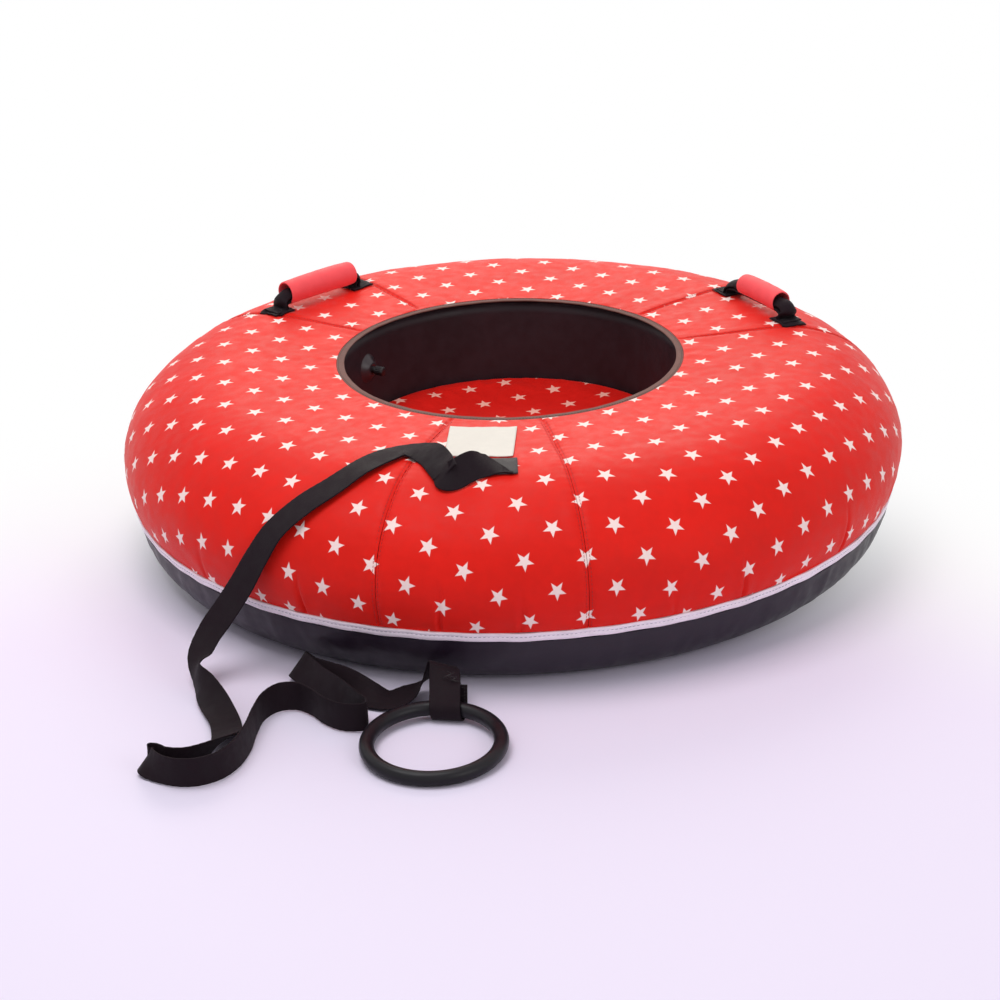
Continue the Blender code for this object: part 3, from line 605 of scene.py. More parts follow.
def star_mask(chain: NodeChain, u: bpy.types.NodeSocket,
              v: bpy.types.NodeSocket) -> bpy.types.NodeSocket:
    """Mark the print's stars, which stand on a square lattice turned by half a right angle.

    Each place is folded into the nearest lattice cell, then into one half point of its star, which
    is a triangle between the tip, the notch and the middle. Each star has one point down.

    Args:
        chain: the material's nodes.
        u: the place across the cloth, in metres.
        v: the place along the cloth, in metres.

    Returns:
        An output that is 1 inside the stars.
    """
    root = math.sqrt(2.0)
    p = chain.math("DIVIDE", chain.math("ADD", u, v), root * STAR_PITCH)
    q = chain.math("DIVIDE", chain.math("SUBTRACT", v, u), root * STAR_PITCH)
    p_cell = chain.math("SUBTRACT", p, chain.math("ROUND", p))
    q_cell = chain.math("SUBTRACT", q, chain.math("ROUND", q))
    x = chain.math("MULTIPLY", chain.math("SUBTRACT", p_cell, q_cell), STAR_PITCH / root)
    y = chain.math("MULTIPLY", chain.math("ADD", p_cell, q_cell), -STAR_PITCH / root)
    reach = chain.math("SQRT", chain.math("MULTIPLY_ADD", x, x, chain.math("MULTIPLY", y, y)))
    turn = math.tau / 5.0
    angle = chain.math("DIVIDE", chain.math("ARCTAN2", x, y), turn)
    fold = chain.math("SUBTRACT", angle, chain.math("ROUND", angle))
    fold = chain.math("MULTIPLY", chain.math("ABSOLUTE", fold), turn)
    along = chain.math("MULTIPLY", reach, chain.math("COSINE", fold))
    aside = chain.math("MULTIPLY", reach, chain.math("SINE", fold))
    notch = 0.42 * STAR_RADIUS
    edge_x = notch * math.cos(turn / 2.0) - STAR_RADIUS
    edge_y = notch * math.sin(turn / 2.0)
    size = math.hypot(edge_x, edge_y)
    out = chain.math("MULTIPLY", chain.math("SUBTRACT", along, STAR_RADIUS), edge_y / size)
    out = chain.math("MULTIPLY_ADD", aside, -edge_x / size, out)
    return chain.ramp(out, -0.0006, 0.0005, 1.0, 0.0)


def shifted_print(u: np.ndarray, v: np.ndarray, shift: tuple) -> np.ndarray:
    """Shift places on the cloth along the print's lattice.

    Args:
        u: places across the cloth.
        v: places along the cloth.
        shift: shares of a cell along the lattice's two ways.

    Returns:
        Both, stacked.
    """
    step = STAR_PITCH / math.sqrt(2.0)
    return np.stack((u - step * (shift[0] - shift[1]), v - step * (shift[0] + shift[1])), -1)


MATERIALS = {}


def material_for(finish: Finish) -> bpy.types.Material:
    """Return the finish's material, made on first use.

    Args:
        finish: the look asked for.

    Returns:
        A material whose colour, roughness and bump all come from nodes.
    """
    if finish.name in MATERIALS:
        return MATERIALS[finish.name]
    material = bpy.data.materials.new(finish.name)
    material.use_nodes = True
    chain = NodeChain(material)
    shader = chain.shader
    shader.inputs["Metallic"].default_value = finish.metallic
    shader.inputs["Specular IOR Level"].default_value = finish.specular
    shader.inputs["Sheen Weight"].default_value = finish.sheen
    shader.inputs["Sheen Roughness"].default_value = 0.4
    place = chain.add("ShaderNodeTexCoord").outputs["Object"]
    cloth = chain.add("ShaderNodeUVMap", uv_map=UV_NAME).outputs["UV"]
    split = chain.add("ShaderNodeSeparateXYZ")
    chain.link(cloth, split.inputs[0])
    u, v = split.outputs["X"], split.outputs["Y"]

    broad = chain.noise(place, 9.0, 4.0)
    fine = chain.noise(place, 70.0, 3.0)
    shade = chain.ramp(chain.math("MULTIPLY_ADD", fine, 0.4, chain.math("MULTIPLY", broad, 0.6)),
                       0.30, 0.70)
    dark = tuple(c * (1.0 - finish.mottle * 1.6) for c in finish.colour) + (1.0,)
    light = tuple(min(1.0, c * (1.0 + finish.mottle)) for c in finish.colour) + (1.0,)
    colour = chain.mix(shade, dark, light)
    rough = chain.ramp(fine, 0.30, 0.70, finish.roughness - 0.05, finish.roughness + 0.07)
    relief = chain.noise(place, 1.0 / finish.grain, 2.0)

    if finish.texture in (Texture.STARS, Texture.CLOTH):
        turns = math.tau / finish.grain
        warp = chain.math("SINE", chain.math("MULTIPLY", u, turns))
        weft = chain.math("SINE", chain.math("MULTIPLY", v, turns))
        weave = chain.math("MULTIPLY", warp, weft)
        relief = chain.math("MULTIPLY_ADD", weave, 0.35, relief)
    if finish.texture is Texture.STARS:
        mask = star_mask(chain, u, v)
        wear = chain.ramp(fine, 0.35, 0.65, 0.0, 0.10)
        worn = (finish.ink[0] * 0.97, finish.ink[1] * 0.80, finish.ink[2] * 0.78, 1.0)
        ink = chain.mix(wear, finish.ink + (1.0,), worn)
        colour = chain.mix(mask, colour, ink)
        rough = chain.math("MULTIPLY_ADD", mask, 0.06, rough)
    if finish.texture is Texture.WEBBING:
        turns = math.tau / finish.grain
        rib = chain.math("SINE", chain.math("MULTIPLY", v, turns))
        column = chain.math("SINE", chain.math("MULTIPLY", u, turns * 0.8))
        twill = chain.math("MULTIPLY", rib, column)
        relief = chain.math("MULTIPLY_ADD", twill, 0.5, relief)
        lit = chain.ramp(twill, -1.0, 1.0, 0.0, 0.35)
        colour = chain.mix(lit, colour, (0.022, 0.014, 0.020, 1.0))
    if finish.texture is Texture.RUBBER:
        bloom = chain.ramp(chain.noise(place, 5.0, 5.0, 0.6), 0.45, 0.75, 0.0, 0.30)
        haze = tuple(0.006 + c for c in finish.colour) + (1.0,)
        colour = chain.mix(bloom, colour, haze)
    if finish.texture is Texture.SHEET:
        rough = chain.math("MULTIPLY_ADD", chain.noise(place, 22.0, 2.0), 0.12, rough)
        scuff = chain.ramp(chain.noise(place, 140.0, 5.0, 0.7), 0.62, 0.72, 0.0, 0.25)
        colour = chain.mix(scuff, colour, (0.055, 0.048, 0.062, 1.0))
    if finish.texture is Texture.THREAD:
        strand = chain.math("SINE", chain.math("MULTIPLY", chain.noise(place, 900.0, 1.0), 20.0))
        relief = chain.math("MULTIPLY_ADD", strand, 0.4, relief)
    chain.link(colour, shader.inputs["Base Color"])
    chain.link(rough, shader.inputs["Roughness"])
    node = chain.add("ShaderNodeBump")
    node.inputs["Strength"].default_value = 1.0
    node.inputs["Distance"].default_value = finish.depth
    chain.link(relief, node.inputs["Height"])
    chain.link(node.outputs["Normal"], shader.inputs["Normal"])
    MATERIALS[finish.name] = material
    return material


@dataclass(frozen=True)
class ClothRelief:
    """Heights, widths and reaches of the cloth's seams, tucks and waves."""

    seam_depth: float = 0.0019
    seam_width: float = 0.0030
    welt_height: float = 0.0007
    welt_aside: float = 0.011
    welt_width: float = 0.007
    pull_height: float = 0.00035
    pull_pitch: float = 0.0105
    pull_reach: float = 0.010
    tuck_height: float = 0.050
    tuck_change: float = 0.022
    tuck_lean: float = 0.10
    tuck_depth: float = 0.0016
    tuck_width: float = 0.0024
    tuck_spread: float = 0.06
    deep_depth: float = 0.0034
    deep_width: float = 0.0020
    deep_spread: float = 0.016
    gather_height: float = 0.00045
    hem_reach: float = 0.014
    opening_reach: float = 0.030
    puff_height: float = 0.0011
    puff_reach: float = 0.050
    slack_height: float = 0.0007
    crease_height: float = 0.00022


class CoverShape:
    """The cover's outer face by azimuth and by length along its section from the opening."""

    def __init__(self, size: CoverSize) -> None:
        """Measure the section once: the crest, the round shoulder and the drawn-in skirt.

        The crest falls as the square of the way to the opening, the shoulder is a quarter of an
        ellipse, and the skirt draws in as the square of the way down.

        Args:
            size: the cover's sizes.
        """
        self.size = size
        self.cloth_relief = ClothRelief()
        crest = np.linspace(size.opening_radius, size.crest_radius, 80)[:-1]
        share = (size.crest_radius - crest) / (size.crest_radius - size.opening_radius)
        top = np.stack((crest, size.crest_height - size.opening_drop * share ** 2), -1)
        angle = np.linspace(0.0, math.pi / 2.0, 240)
        run = size.outer_radius - size.crest_radius
        drop = size.crest_height - size.widest_height
        shoulder = np.stack((size.crest_radius + run * np.sin(angle),
                             size.widest_height + drop * np.cos(angle)), -1)
        share = np.linspace(0.0, 1.0, 60)[1:]
        tuck = size.outer_radius - size.skirt_radius
        fall = size.skirt_height - size.widest_height
        skirt = np.stack((size.outer_radius - tuck * share ** 2,
                          size.widest_height + fall * share), -1)
        self.section = np.concatenate((top, shoulder, skirt))
        self.run = length_of(self.section)
        self.total = float(self.run[-1])
        self.crest_run = float(self.run[len(top)])
        slope = unit(np.gradient(self.section, axis=0))
        self.normal = np.stack((-slope[:, 1], slope[:, 0]), -1)
        if self.normal[0, 1] < 0.0:
            self.normal = -self.normal

    def section_at(self, run: np.ndarray) -> tuple:
        """Return radius, height and the outward normal's two parts at lengths along the section."""
        return tuple(np.interp(run, self.run, column) for column in
                     (self.section[:, 0], self.section[:, 1], self.normal[:, 0], self.normal[:, 1]))

    def seam_arc(self, azimuth: np.ndarray, radius: np.ndarray) -> np.ndarray:
        """Measure the way round to the nearest panel seam.

        Args:
            azimuth: degrees from +X.
            radius: radii there.

        Returns:
            Distances.
        """
        seams = np.array([panel.first for panel in PANELS])
        gap = (azimuth[..., None] - seams + 180.0) % 360.0 - 180.0
        return np.radians(np.abs(gap).min(-1)) * radius

    def relief(self, azimuth: np.ndarray, run: np.ndarray, radius: np.ndarray) -> np.ndarray:
        """Return how far the cloth stands out from the smooth form.

        Seams are drawn in, with small pulls beside their stitches. Tucks pinch the cloth above
        the piping, the opening's edge is gathered a little, and slack makes slow waves. Each is a
        bell or a sum of sines across it, and fades away along the section.

        Args:
            azimuth: degrees from +X.
            run: lengths along the section from the opening.
            radius: radii there.

        Returns:
            Heights over the smooth form.
        """
        size = self.cloth_relief
        turn = np.radians(azimuth)
        below = self.total - run
        seam = self.seam_arc(azimuth, radius)
        out = -size.seam_depth * bump(seam, size.seam_width)
        out += size.welt_height * bump(seam - size.welt_aside, size.welt_width)
        slip = 2.0 * drift(turn * 9.0, run * 40.0, 0.4)
        pulls = np.sin(run / size.pull_pitch * math.tau + slip)
        out += size.pull_height * pulls * np.exp(-seam / size.pull_reach)
        for k, place in enumerate(TUCKS):
            aside = np.radians((azimuth - place + 180.0) % 360.0 - 180.0) * radius
            tall = size.tuck_height + size.tuck_change * math.sin(2.3 * k)
            lean = size.tuck_lean * math.sin(1.7 * k + 0.5)
            deep, width = size.tuck_depth, size.tuck_width + size.tuck_spread * below
            if place in DEEP_TUCKS:
                tall, deep = size.tuck_height, size.deep_depth
                width = size.deep_width + size.deep_spread * below
            aside = aside + lean * below
            fade = ease(1.0 - below / (tall * 1.5))
            out += fade * deep * (0.30 * bump(aside - 3.0 * width, 2.4 * width) - bump(aside, width)
                                  + 0.26 * bump(aside + 3.0 * width, 2.4 * width))
        gather = np.sin(turn * 67.0 + 1.3 * np.sin(turn * 9.0)) + 0.6 * np.sin(turn * 103.0 + 0.7)
        out += size.gather_height * gather * np.exp(-below / size.hem_reach)
        gather = np.sin(turn * 41.0 + 1.1 * np.sin(turn * 7.0)) + 0.7 * np.sin(turn * 73.0 + 2.1)
        out += size.gather_height * gather * np.exp(-run / size.opening_reach) * ease(run / 0.006)
        low = np.exp(-below / size.puff_reach)
        out += size.puff_height * low * drift(turn * 14.0, below * 30.0, 2.2)
        out += size.slack_height * drift(turn * 11.0, run * 26.0, 5.1)
        out += size.crease_height * drift(turn * 47.0, run * 120.0, 3.3)
        edge = ease(run / 0.004) * ease(below / 0.003)
        return out * edge

    def surface(self, azimuth: np.ndarray, run: np.ndarray, lift: float = 0.0) -> np.ndarray:
        """Return points of the dressed cover.

        Args:
            azimuth: degrees from +X.
            run: lengths along the section from the opening.
            lift: an extra height above the cloth.

        Returns:
            Places, with one more axis than the inputs.
        """
        azimuth, run = np.broadcast_arrays(azimuth, run)
        radius, height, n_r, n_z = self.section_at(run)
        out = self.relief(azimuth, run, radius) + lift
        r = radius + n_r * out
        z = height + n_z * out
        turn = np.radians(azimuth)
        return np.stack((r * np.cos(turn), r * np.sin(turn), z), -1)

    def run_at_plan(self, radius: np.ndarray) -> np.ndarray:
        """Return the length along the section where the top is at a plan radius."""
        widest = int(np.argmax(self.section[:, 0]))
        return np.interp(radius, self.section[:widest + 1, 0], self.run[:widest + 1])

    def on_top(self, x: np.ndarray, y: np.ndarray, lift: Union[float, np.ndarray]) -> np.ndarray:
        """Find points above the cloth, lifted square to the smooth form.

        Args:
            x: places in plan.
            y: places in plan.
            lift: heights above the cloth.

        Returns:
            Places in the shared frame.
        """
        radius = np.hypot(x, y)
        run = self.run_at_plan(radius)
        r, z, n_r, n_z = self.section_at(run)
        out = self.relief(np.degrees(np.arctan2(y, x)), run, radius) + lift
        grow = (r + n_r * out) / np.maximum(radius, 1e-9)
        return np.stack((x * grow, y * grow, z + n_z * out), -1)

    def cloth(self, azimuth: np.ndarray, run: np.ndarray, panel: Panel) -> np.ndarray:
        """Unroll the cover about the ring's axis, then turn and shift it under the print.

        Args:
            azimuth: degrees from +X.
            run: lengths along the section.
            panel: the panel, which says how its print lies.

        Returns:
            Places on the flat cloth.
        """
        reach = self.size.crest_radius + run - self.crest_run
        turn = np.radians(azimuth)
        x, y = reach * np.cos(turn), reach * np.sin(turn)
        tilt = math.radians(panel.turn_deg)
        u = x * math.cos(tilt) + y * math.sin(tilt)
        v = y * math.cos(tilt) - x * math.sin(tilt)
        return shifted_print(u, v, panel.shift)


@dataclass(frozen=True)
class Cover:
    """Six sewn panels, their seams, the opening's binding and the piping."""

    shape: CoverShape
    column_deg: float = 0.35
    fine_deg: float = 0.05
    near_deg: float = 1.2
    near_columns: int = 16
    rows: int = 132
    first_row: float = 0.0003
    seam_sewing: Stitching = Stitching(0.0046, 0.0036, 0.0003)
    seam_inset: float = 0.0032
    tape_width: float = 0.0094
    tape_depth: float = 0.0018
    tape_edge: float = 0.0008
    tape_inset: float = 0.0022
    tape_steps: int = 720
    tape_sewing: Stitching = Stitching(0.0040, 0.0029, 0.0003)
    band_top: float = 0.0003
    band_bottom: float = 0.0120
    band_out_top: float = 0.0014
    band_out_low: float = 0.0018
    band_fold: float = 0.42
    band_bulges: tuple = (0.0011, 0.0013)
    band_steps: int = 1080
    band_sewing: Stitching = Stitching(0.0052, 0.0042, 0.00035)

    def panel(self, panel: Panel) -> None:
        """Add one panel, closely divided near its tucks and turned in at its borders.

        Args:
            panel: which one.
        """
        size = self.shape.size
        gap = math.degrees(size.seam_gap / 2.0 / size.outer_radius)
        first, last = panel.first + gap, panel.last - gap
        step, fine = self.column_deg, self.fine_deg
        near = np.linspace(-self.near_deg, self.near_deg, self.near_columns)
        near = np.array(TUCKS)[:, None] + near
        near = np.concatenate([near.ravel() + lap for lap in (0.0, 360.0)])
        every = np.arange(first + step, last - step / 2.0, step)
        inner = np.concatenate((every, near[(near > first + fine) & (near < last - fine)]))
        inner = np.unique(np.round(inner / fine)) * fine
        inner = inner[(inner > first + fine) & (inner < last - fine)]
        azimuth = np.concatenate(((first,), inner, (last,)))
        run = np.linspace(self.first_row, self.shape.total, self.rows)
        turn, along = np.meshgrid(azimuth, run, indexing="xy")
        points, cloth = self.shape.surface(turn, along), self.shape.cloth(turn, along, panel)
        grid = Grid(points[:, ::-1], cloth[:, ::-1]).hemmed(size.fabric)
        piece = add_grid(panel.node + "_cloth", COVER, grid)
        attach(piece, "cover")
        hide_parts(panel.node)

    def seams(self) -> None:
        """Sew two rows of stitches along every panel seam."""
        rows = []
        run = np.linspace(0.012, self.shape.total - 0.002, 130)
        radius = self.shape.section_at(run)[0]
        for panel in PANELS:
            for side in (-1.0, 1.0):
                azimuth = panel.first + np.degrees(side * self.seam_inset / radius)
                path = self.shape.surface(azimuth, run)
                out = unit(self.shape.surface(azimuth, run, 0.01) - path)
                rows.append((path, out))
        self.seam_sewing.sew("seam_stitches", RED_THREAD, rows, "cover")

    def binding(self) -> None:
        """Add the flat tape folded round the opening, with its row of stitches."""
        size = self.shape.size
        width, depth, steps = self.tape_width, self.tape_depth, self.tape_steps
        top = size.crest_height - size.opening_drop
        inner, outer = size.opening_radius - width, size.opening_radius
        section = rounded_band(inner, outer, top - depth, top, self.tape_edge, 5)
        grid = turned_grid(section, steps, closed=True)
        azimuth = circle(steps)
        wave = 0.00012 * np.sin(azimuth * 41.0 + np.sin(azimuth * 7.0))
        wave = wave + 0.00014 * np.sin(azimuth * 13.0)
        grid.points[..., 2] += wave
        pull = 0.00008 * np.sin(azimuth * 23.0) + 0.0004 * np.sin(azimuth * 5.0 + 1.0)
        pull = 1.0 + pull / inner
        share = (outer - section[:, 0])[:, None] / width
        grid.points[..., :2] *= (1.0 + (pull - 1.0) * share)[..., None]
        piece = add_grid("opening_tape", BINDING, grid)
        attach(piece, "cover")
        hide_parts("opening_binding")
        ring = np.stack((np.cos(azimuth), np.sin(azimuth)), -1)
        path = np.column_stack((ring * (outer - self.tape_inset), top + wave))
        up = np.tile((0.0, 0.0, 1.0), (len(path), 1))
        self.tape_sewing.sew("tape_stitches", DARK_THREAD, [(path, up)], "cover")

    def piping(self) -> None:
        """Add the pale folded band over the skirt seam, with the stitch line in its groove."""
        size = self.shape.size
        fold, steps = self.band_fold, self.band_steps
        top, bottom = size.skirt_height - self.band_top, size.skirt_height - self.band_bottom
        out_top = size.skirt_radius + self.band_out_top
        out_low = size.skirt_radius - self.band_out_low
        height = np.linspace(0.0, 1.0, 22)
        over, under = self.band_bulges
        face = over * np.sin(np.pi * np.clip(height / fold, 0.0, 1.0)) ** 0.6
        face += under * np.sin(np.pi * np.clip((height - fold) / (1.0 - fold), 0.0, 1.0)) ** 0.6
        radius = out_top + (out_low - out_top) * height + face
        front = np.stack((radius, top + (bottom - top) * height), -1)
        back = np.array([(out_low - 0.0040, bottom), (out_top - 0.0050, top)])
        section = np.concatenate((front, back))
        grid = turned_grid(section, steps, closed=True)
        azimuth = circle(steps)
        sway = 0.0005 * drift(azimuth * 19.0, azimuth * 0.0, 1.9) + 0.0003 * np.sin(azimuth * 57.0)
        grid.points[..., 2] += sway
        grid.points[..., :2] *= (1.0 + 0.0004 * drift(azimuth * 31.0, azimuth * 0.0, 0.8)
                                 / out_top)[None, :, None]
        piece = add_grid("piping_band", PIPING, grid)
        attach(piece, "cover")
        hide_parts("edge_piping")
        ring = np.stack((np.cos(azimuth), np.sin(azimuth)), -1)
        groove = out_top + (out_low - out_top) * fold
        path = np.column_stack((ring * groove, top + (bottom - top) * fold + sway))
        out = np.column_stack((ring, np.zeros(steps)))
        self.band_sewing.sew("piping_stitches", GREY_THREAD, [(path, out)], "cover")

    def build(self) -> None:
        """Add the whole cover."""
        for panel in PANELS:
            self.panel(panel)
        self.seams()
        self.binding()
        self.piping()


def arc(x: float, z: float, radius_x: float, radius_z: float, first: float, last: float,
        steps: int) -> np.ndarray:
    """Return an arc of an ellipse about (x, z), between two angles in degrees."""
    angle = np.radians(np.linspace(first, last, steps))
    return np.stack((x + radius_x * np.cos(angle), z + radius_z * np.sin(angle)), -1)


def rounded_band(inner: float, outer: float, low: float, high: float, edge: float,
                 steps: int) -> np.ndarray:
    """Draw the closed section of a band with round edges.

    Args:
        inner: its inner radius.
        outer: its outer radius.
        low: its lower height.
        high: its upper height.
        edge: the radius of its edges.
        steps: points along each edge.

    Returns:
        Radii and heights, n x 2.
    """
    corners = ((outer - edge, high - edge, 90.0), (outer - edge, low + edge, 0.0),
               (inner + edge, low + edge, -90.0), (inner + edge, high - edge, -180.0))
    return np.concatenate([arc(x, z, edge, edge, start, start - 90.0, steps)
                           for x, z, start in corners])


@dataclass(frozen=True)
class Base:
    """The sliding base: a shallow bowl of coated sheet, a little slack above the floor."""

    sheet: float = 0.0020
    flat_radius: float = 0.430
    top_radius: float = 0.4872
    top_height: float = 0.0665
    steps: int = 720
    broad_fold: float = 0.0016
    fine_fold: float = 0.0011

    def build(self) -> None:
        """Add the base as one sheet: a flat disc, then a quarter of an ellipse to the piping.

        Its side is slack: a slow wave round it, never outwards, draws it in between its edges.
        """
        disc = np.linspace(0.0, self.flat_radius, 24)[:-1]
        angle = np.linspace(0.0, math.pi / 2.0, 40)
        side = np.stack((self.flat_radius + (self.top_radius - self.flat_radius) * np.sin(angle),
                         self.top_height * (1.0 - np.cos(angle))), -1)
        outer = np.concatenate((np.stack((disc, disc * 0.0), -1), side))
        turn = circle(self.steps)
        grid = turned_grid(outer, self.steps)
        rise = grid.points[..., 2] / self.top_height
        folds = self.broad_fold * drift(turn * 17.0, rise * 1.4, 0.9)
        folds += self.fine_fold * drift(turn * 41.0, rise * 2.0, 4.0)
        slack = -np.abs(folds) * ease(rise * 3.0) * ease((1.0 - rise) * 6.0)
        grid.swell(slack)
        flipped = Grid(grid.points[:, ::-1], grid.cloth[:, ::-1], ring_columns=True)
        piece = add_grid("base_sheet", BASE, flipped.hemmed(self.sheet))
        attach(piece, "cover")
        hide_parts("bottom_cover")


@dataclass(frozen=True)
class RubberRing:
    """The inflated ring, seen in the opening, and its valve."""

    bore: float = 0.2185
    shoulder: float = 0.016
    heel: float = 0.042
    crown: float = 0.2250
    floor: float = 0.0023
    middle: tuple = (0.3545, 0.1214)
    flank: float = 0.1405
    low_middle: tuple = (0.428, 0.062)
    low_reach: tuple = (0.0505, 0.0585)
    swell: float = 0.0014
    steps: int = 480

    def section(self) -> np.ndarray:
        """Join arcs of ellipses and a slightly swollen wall into the ring's closed section.

        Returns:
            Radii and heights, n x 2, from the bore over the top and round to the heel.
        """
        top = arc(self.bore + self.shoulder, self.crown - self.shoulder, self.shoulder,
                  self.shoulder, 180.0, 90.0, 12)
        flank = arc(*self.middle, self.flank, self.crown + 0.0020 - self.middle[1], 90.0, 0.0, 30)
        low = arc(*self.low_middle, *self.low_reach, 0.0, -90.0, 16)
        heel = arc(self.bore + self.heel, self.floor + self.heel, self.heel, self.heel,
                   -90.0, -180.0, 12)
        wall = np.linspace(0.0, 1.0, 14)[1:-1]
        rise = self.crown - self.shoulder - self.floor - self.heel
        height = self.floor + self.heel + rise * wall
        bore = np.stack((self.bore - self.swell * np.sin(math.pi * wall), height), -1)
        return np.concatenate((top, flank, low, heel[:-1], bore))

    def build(self) -> None:
        """Add the ring, with fine mould lines and slack creases round its bore."""
        section = self.section()
        grid = turned_grid(section, self.steps, closed=True)
        turn = circle(self.steps)
        height = section[:, 1][:, None]
        inside = (section[:, 0] < self.bore + 0.006)[:, None]
        relief = 0.0006 * drift(turn * 7.0, height * 30.0, 1.1)
        relief += 0.0003 * drift(turn * 31.0, height * 60.0, 2.9)
        relief = -np.abs(relief) * 0.6
        grid.swell(-np.where(inside, relief, 0.0))
        piece = add_grid("rubber_ring", TUBE_RUBBER, grid)
        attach(piece, "cover")
        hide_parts("inner_tube")


@dataclass(frozen=True)
class ValveSize:
    """Valve sizes along its own axis, from the bore wall."""

    azimuth_deg: float = 150.0
    height: float = 0.176
    patch_radius: float = 0.023
    patch_hole: float = 0.0049
    dome: float = 0.0105
    dimple: float = 0.0016
    stem_radius: float = 0.0046
    outside: float = 0.0240
    inside: float = 0.0065
    cap_length: float = 0.0120


class Valve:
    """Bonded patch, rubber stem, brass core and ribbed cap."""

    def __init__(self, size: ValveSize, bore: float) -> None:
        """Place the valve's frame on the ring's bore wall, local Z out of the wall.

        Args:
            size: the valve's sizes.
            bore: the radius of the wall.
        """
        turn = math.radians(size.azimuth_deg)
        outward = Vector((math.cos(turn), math.sin(turn), 0.0))
        up = Vector((0.0, 0.0, 1.0))
        along = -outward
        self.place = Matrix((up.cross(along), up, along)).transposed().to_4x4()
        self.place.translation = outward * bore + up * size.height
        self.size = size

    def put(self, points: np.ndarray) -> np.ndarray:
        """Return local points in the shared frame."""
        turn = np.array(self.place.to_3x3())
        return points @ turn.T + np.array(self.place.translation)

    def build(self) -> None:
        """Add the valve's pieces."""
        size = self.size
        radius = np.linspace(size.patch_hole, size.patch_radius, 28)
        share = (radius - radius[0]) / (radius[-1] - radius[0])
        rise = size.dome * (0.5 + 0.5 * np.cos(math.pi * share)) - size.dimple * bump(share, 0.16)
        wall = np.vstack((np.stack((radius, rise - 0.0004), -1), (size.patch_radius, -0.0020)))
        patch = turned_grid(wall[::-1], 128)
        # The dome takes the lighter rubber, a painted highlight
        piece = add_piece("valve_boss", BOSS_RUBBER_PAINTED_HIGHLIGHT, self.put(patch.points), patch.faces(),
                          patch.cloth)
        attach(piece, "cover")
        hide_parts("valve_patch")
        stem = np.array([(0.0023, 0.0235), (0.0038, 0.0240), (0.0046, 0.0233), (0.0046, 0.0090),
                         (0.0049, 0.0070), (0.0056, 0.0052), (0.0056, 0.0),
                         (0.0046, -0.0036), (0.0090, -0.0036), (0.0090, -0.0054),
                         (0.0046, -0.0054), (0.0046, -size.inside), (0.0023, -size.inside)])
        grid = turned_grid(stem[::-1], 64, closed=True)
        piece = add_piece("valve_tube", VALVE_RUBBER, self.put(grid.points), grid.faces(),
                          grid.cloth)
        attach(piece, "cover")
        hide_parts("valve_stem")
        self.cap()
        core = frame["nodes"]["valve_core"]
        core.data.materials.clear()
        core.data.materials.append(material_for(BRASS))

    def cap(self) -> None:
        """Add the cap: a fluted wall with a rounded end."""
        size = self.size
        top = size.outside + 0.0019
        low = top - size.cap_length
        bore, outer = size.stem_radius + 0.0003, size.stem_radius + 0.0017
        section = np.array([(0.0, top), (outer - 0.0022, top), (outer - 0.0009, top - 0.0004),
                            (outer - 0.0002, top - 0.0012), (outer, top - 0.0024),
                            (outer, low + 0.0010), (outer + 0.0002, low + 0.0004),
                            (outer - 0.0002, low), (bore, low), (bore, top - 0.0016),
                            (0.0, top - 0.0016)])
        steps = 96
        grid = turned_grid(section[::-1], steps)
        angle = circle(steps)
        flute = 0.00035 * np.clip(np.sin(angle * 16.0), -1.0, 0.6)
        walls = (section[::-1][:, 0] > outer - 0.0010)[:, None]
        grid.swell(np.where(walls, flute - 0.0003, 0.0))
        piece = add_piece("valve_cap_fluted", VALVE_RUBBER, self.put(grid.points), grid.faces(),
                          grid.cloth)
        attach(piece, "cap")
        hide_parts("valve_cap")


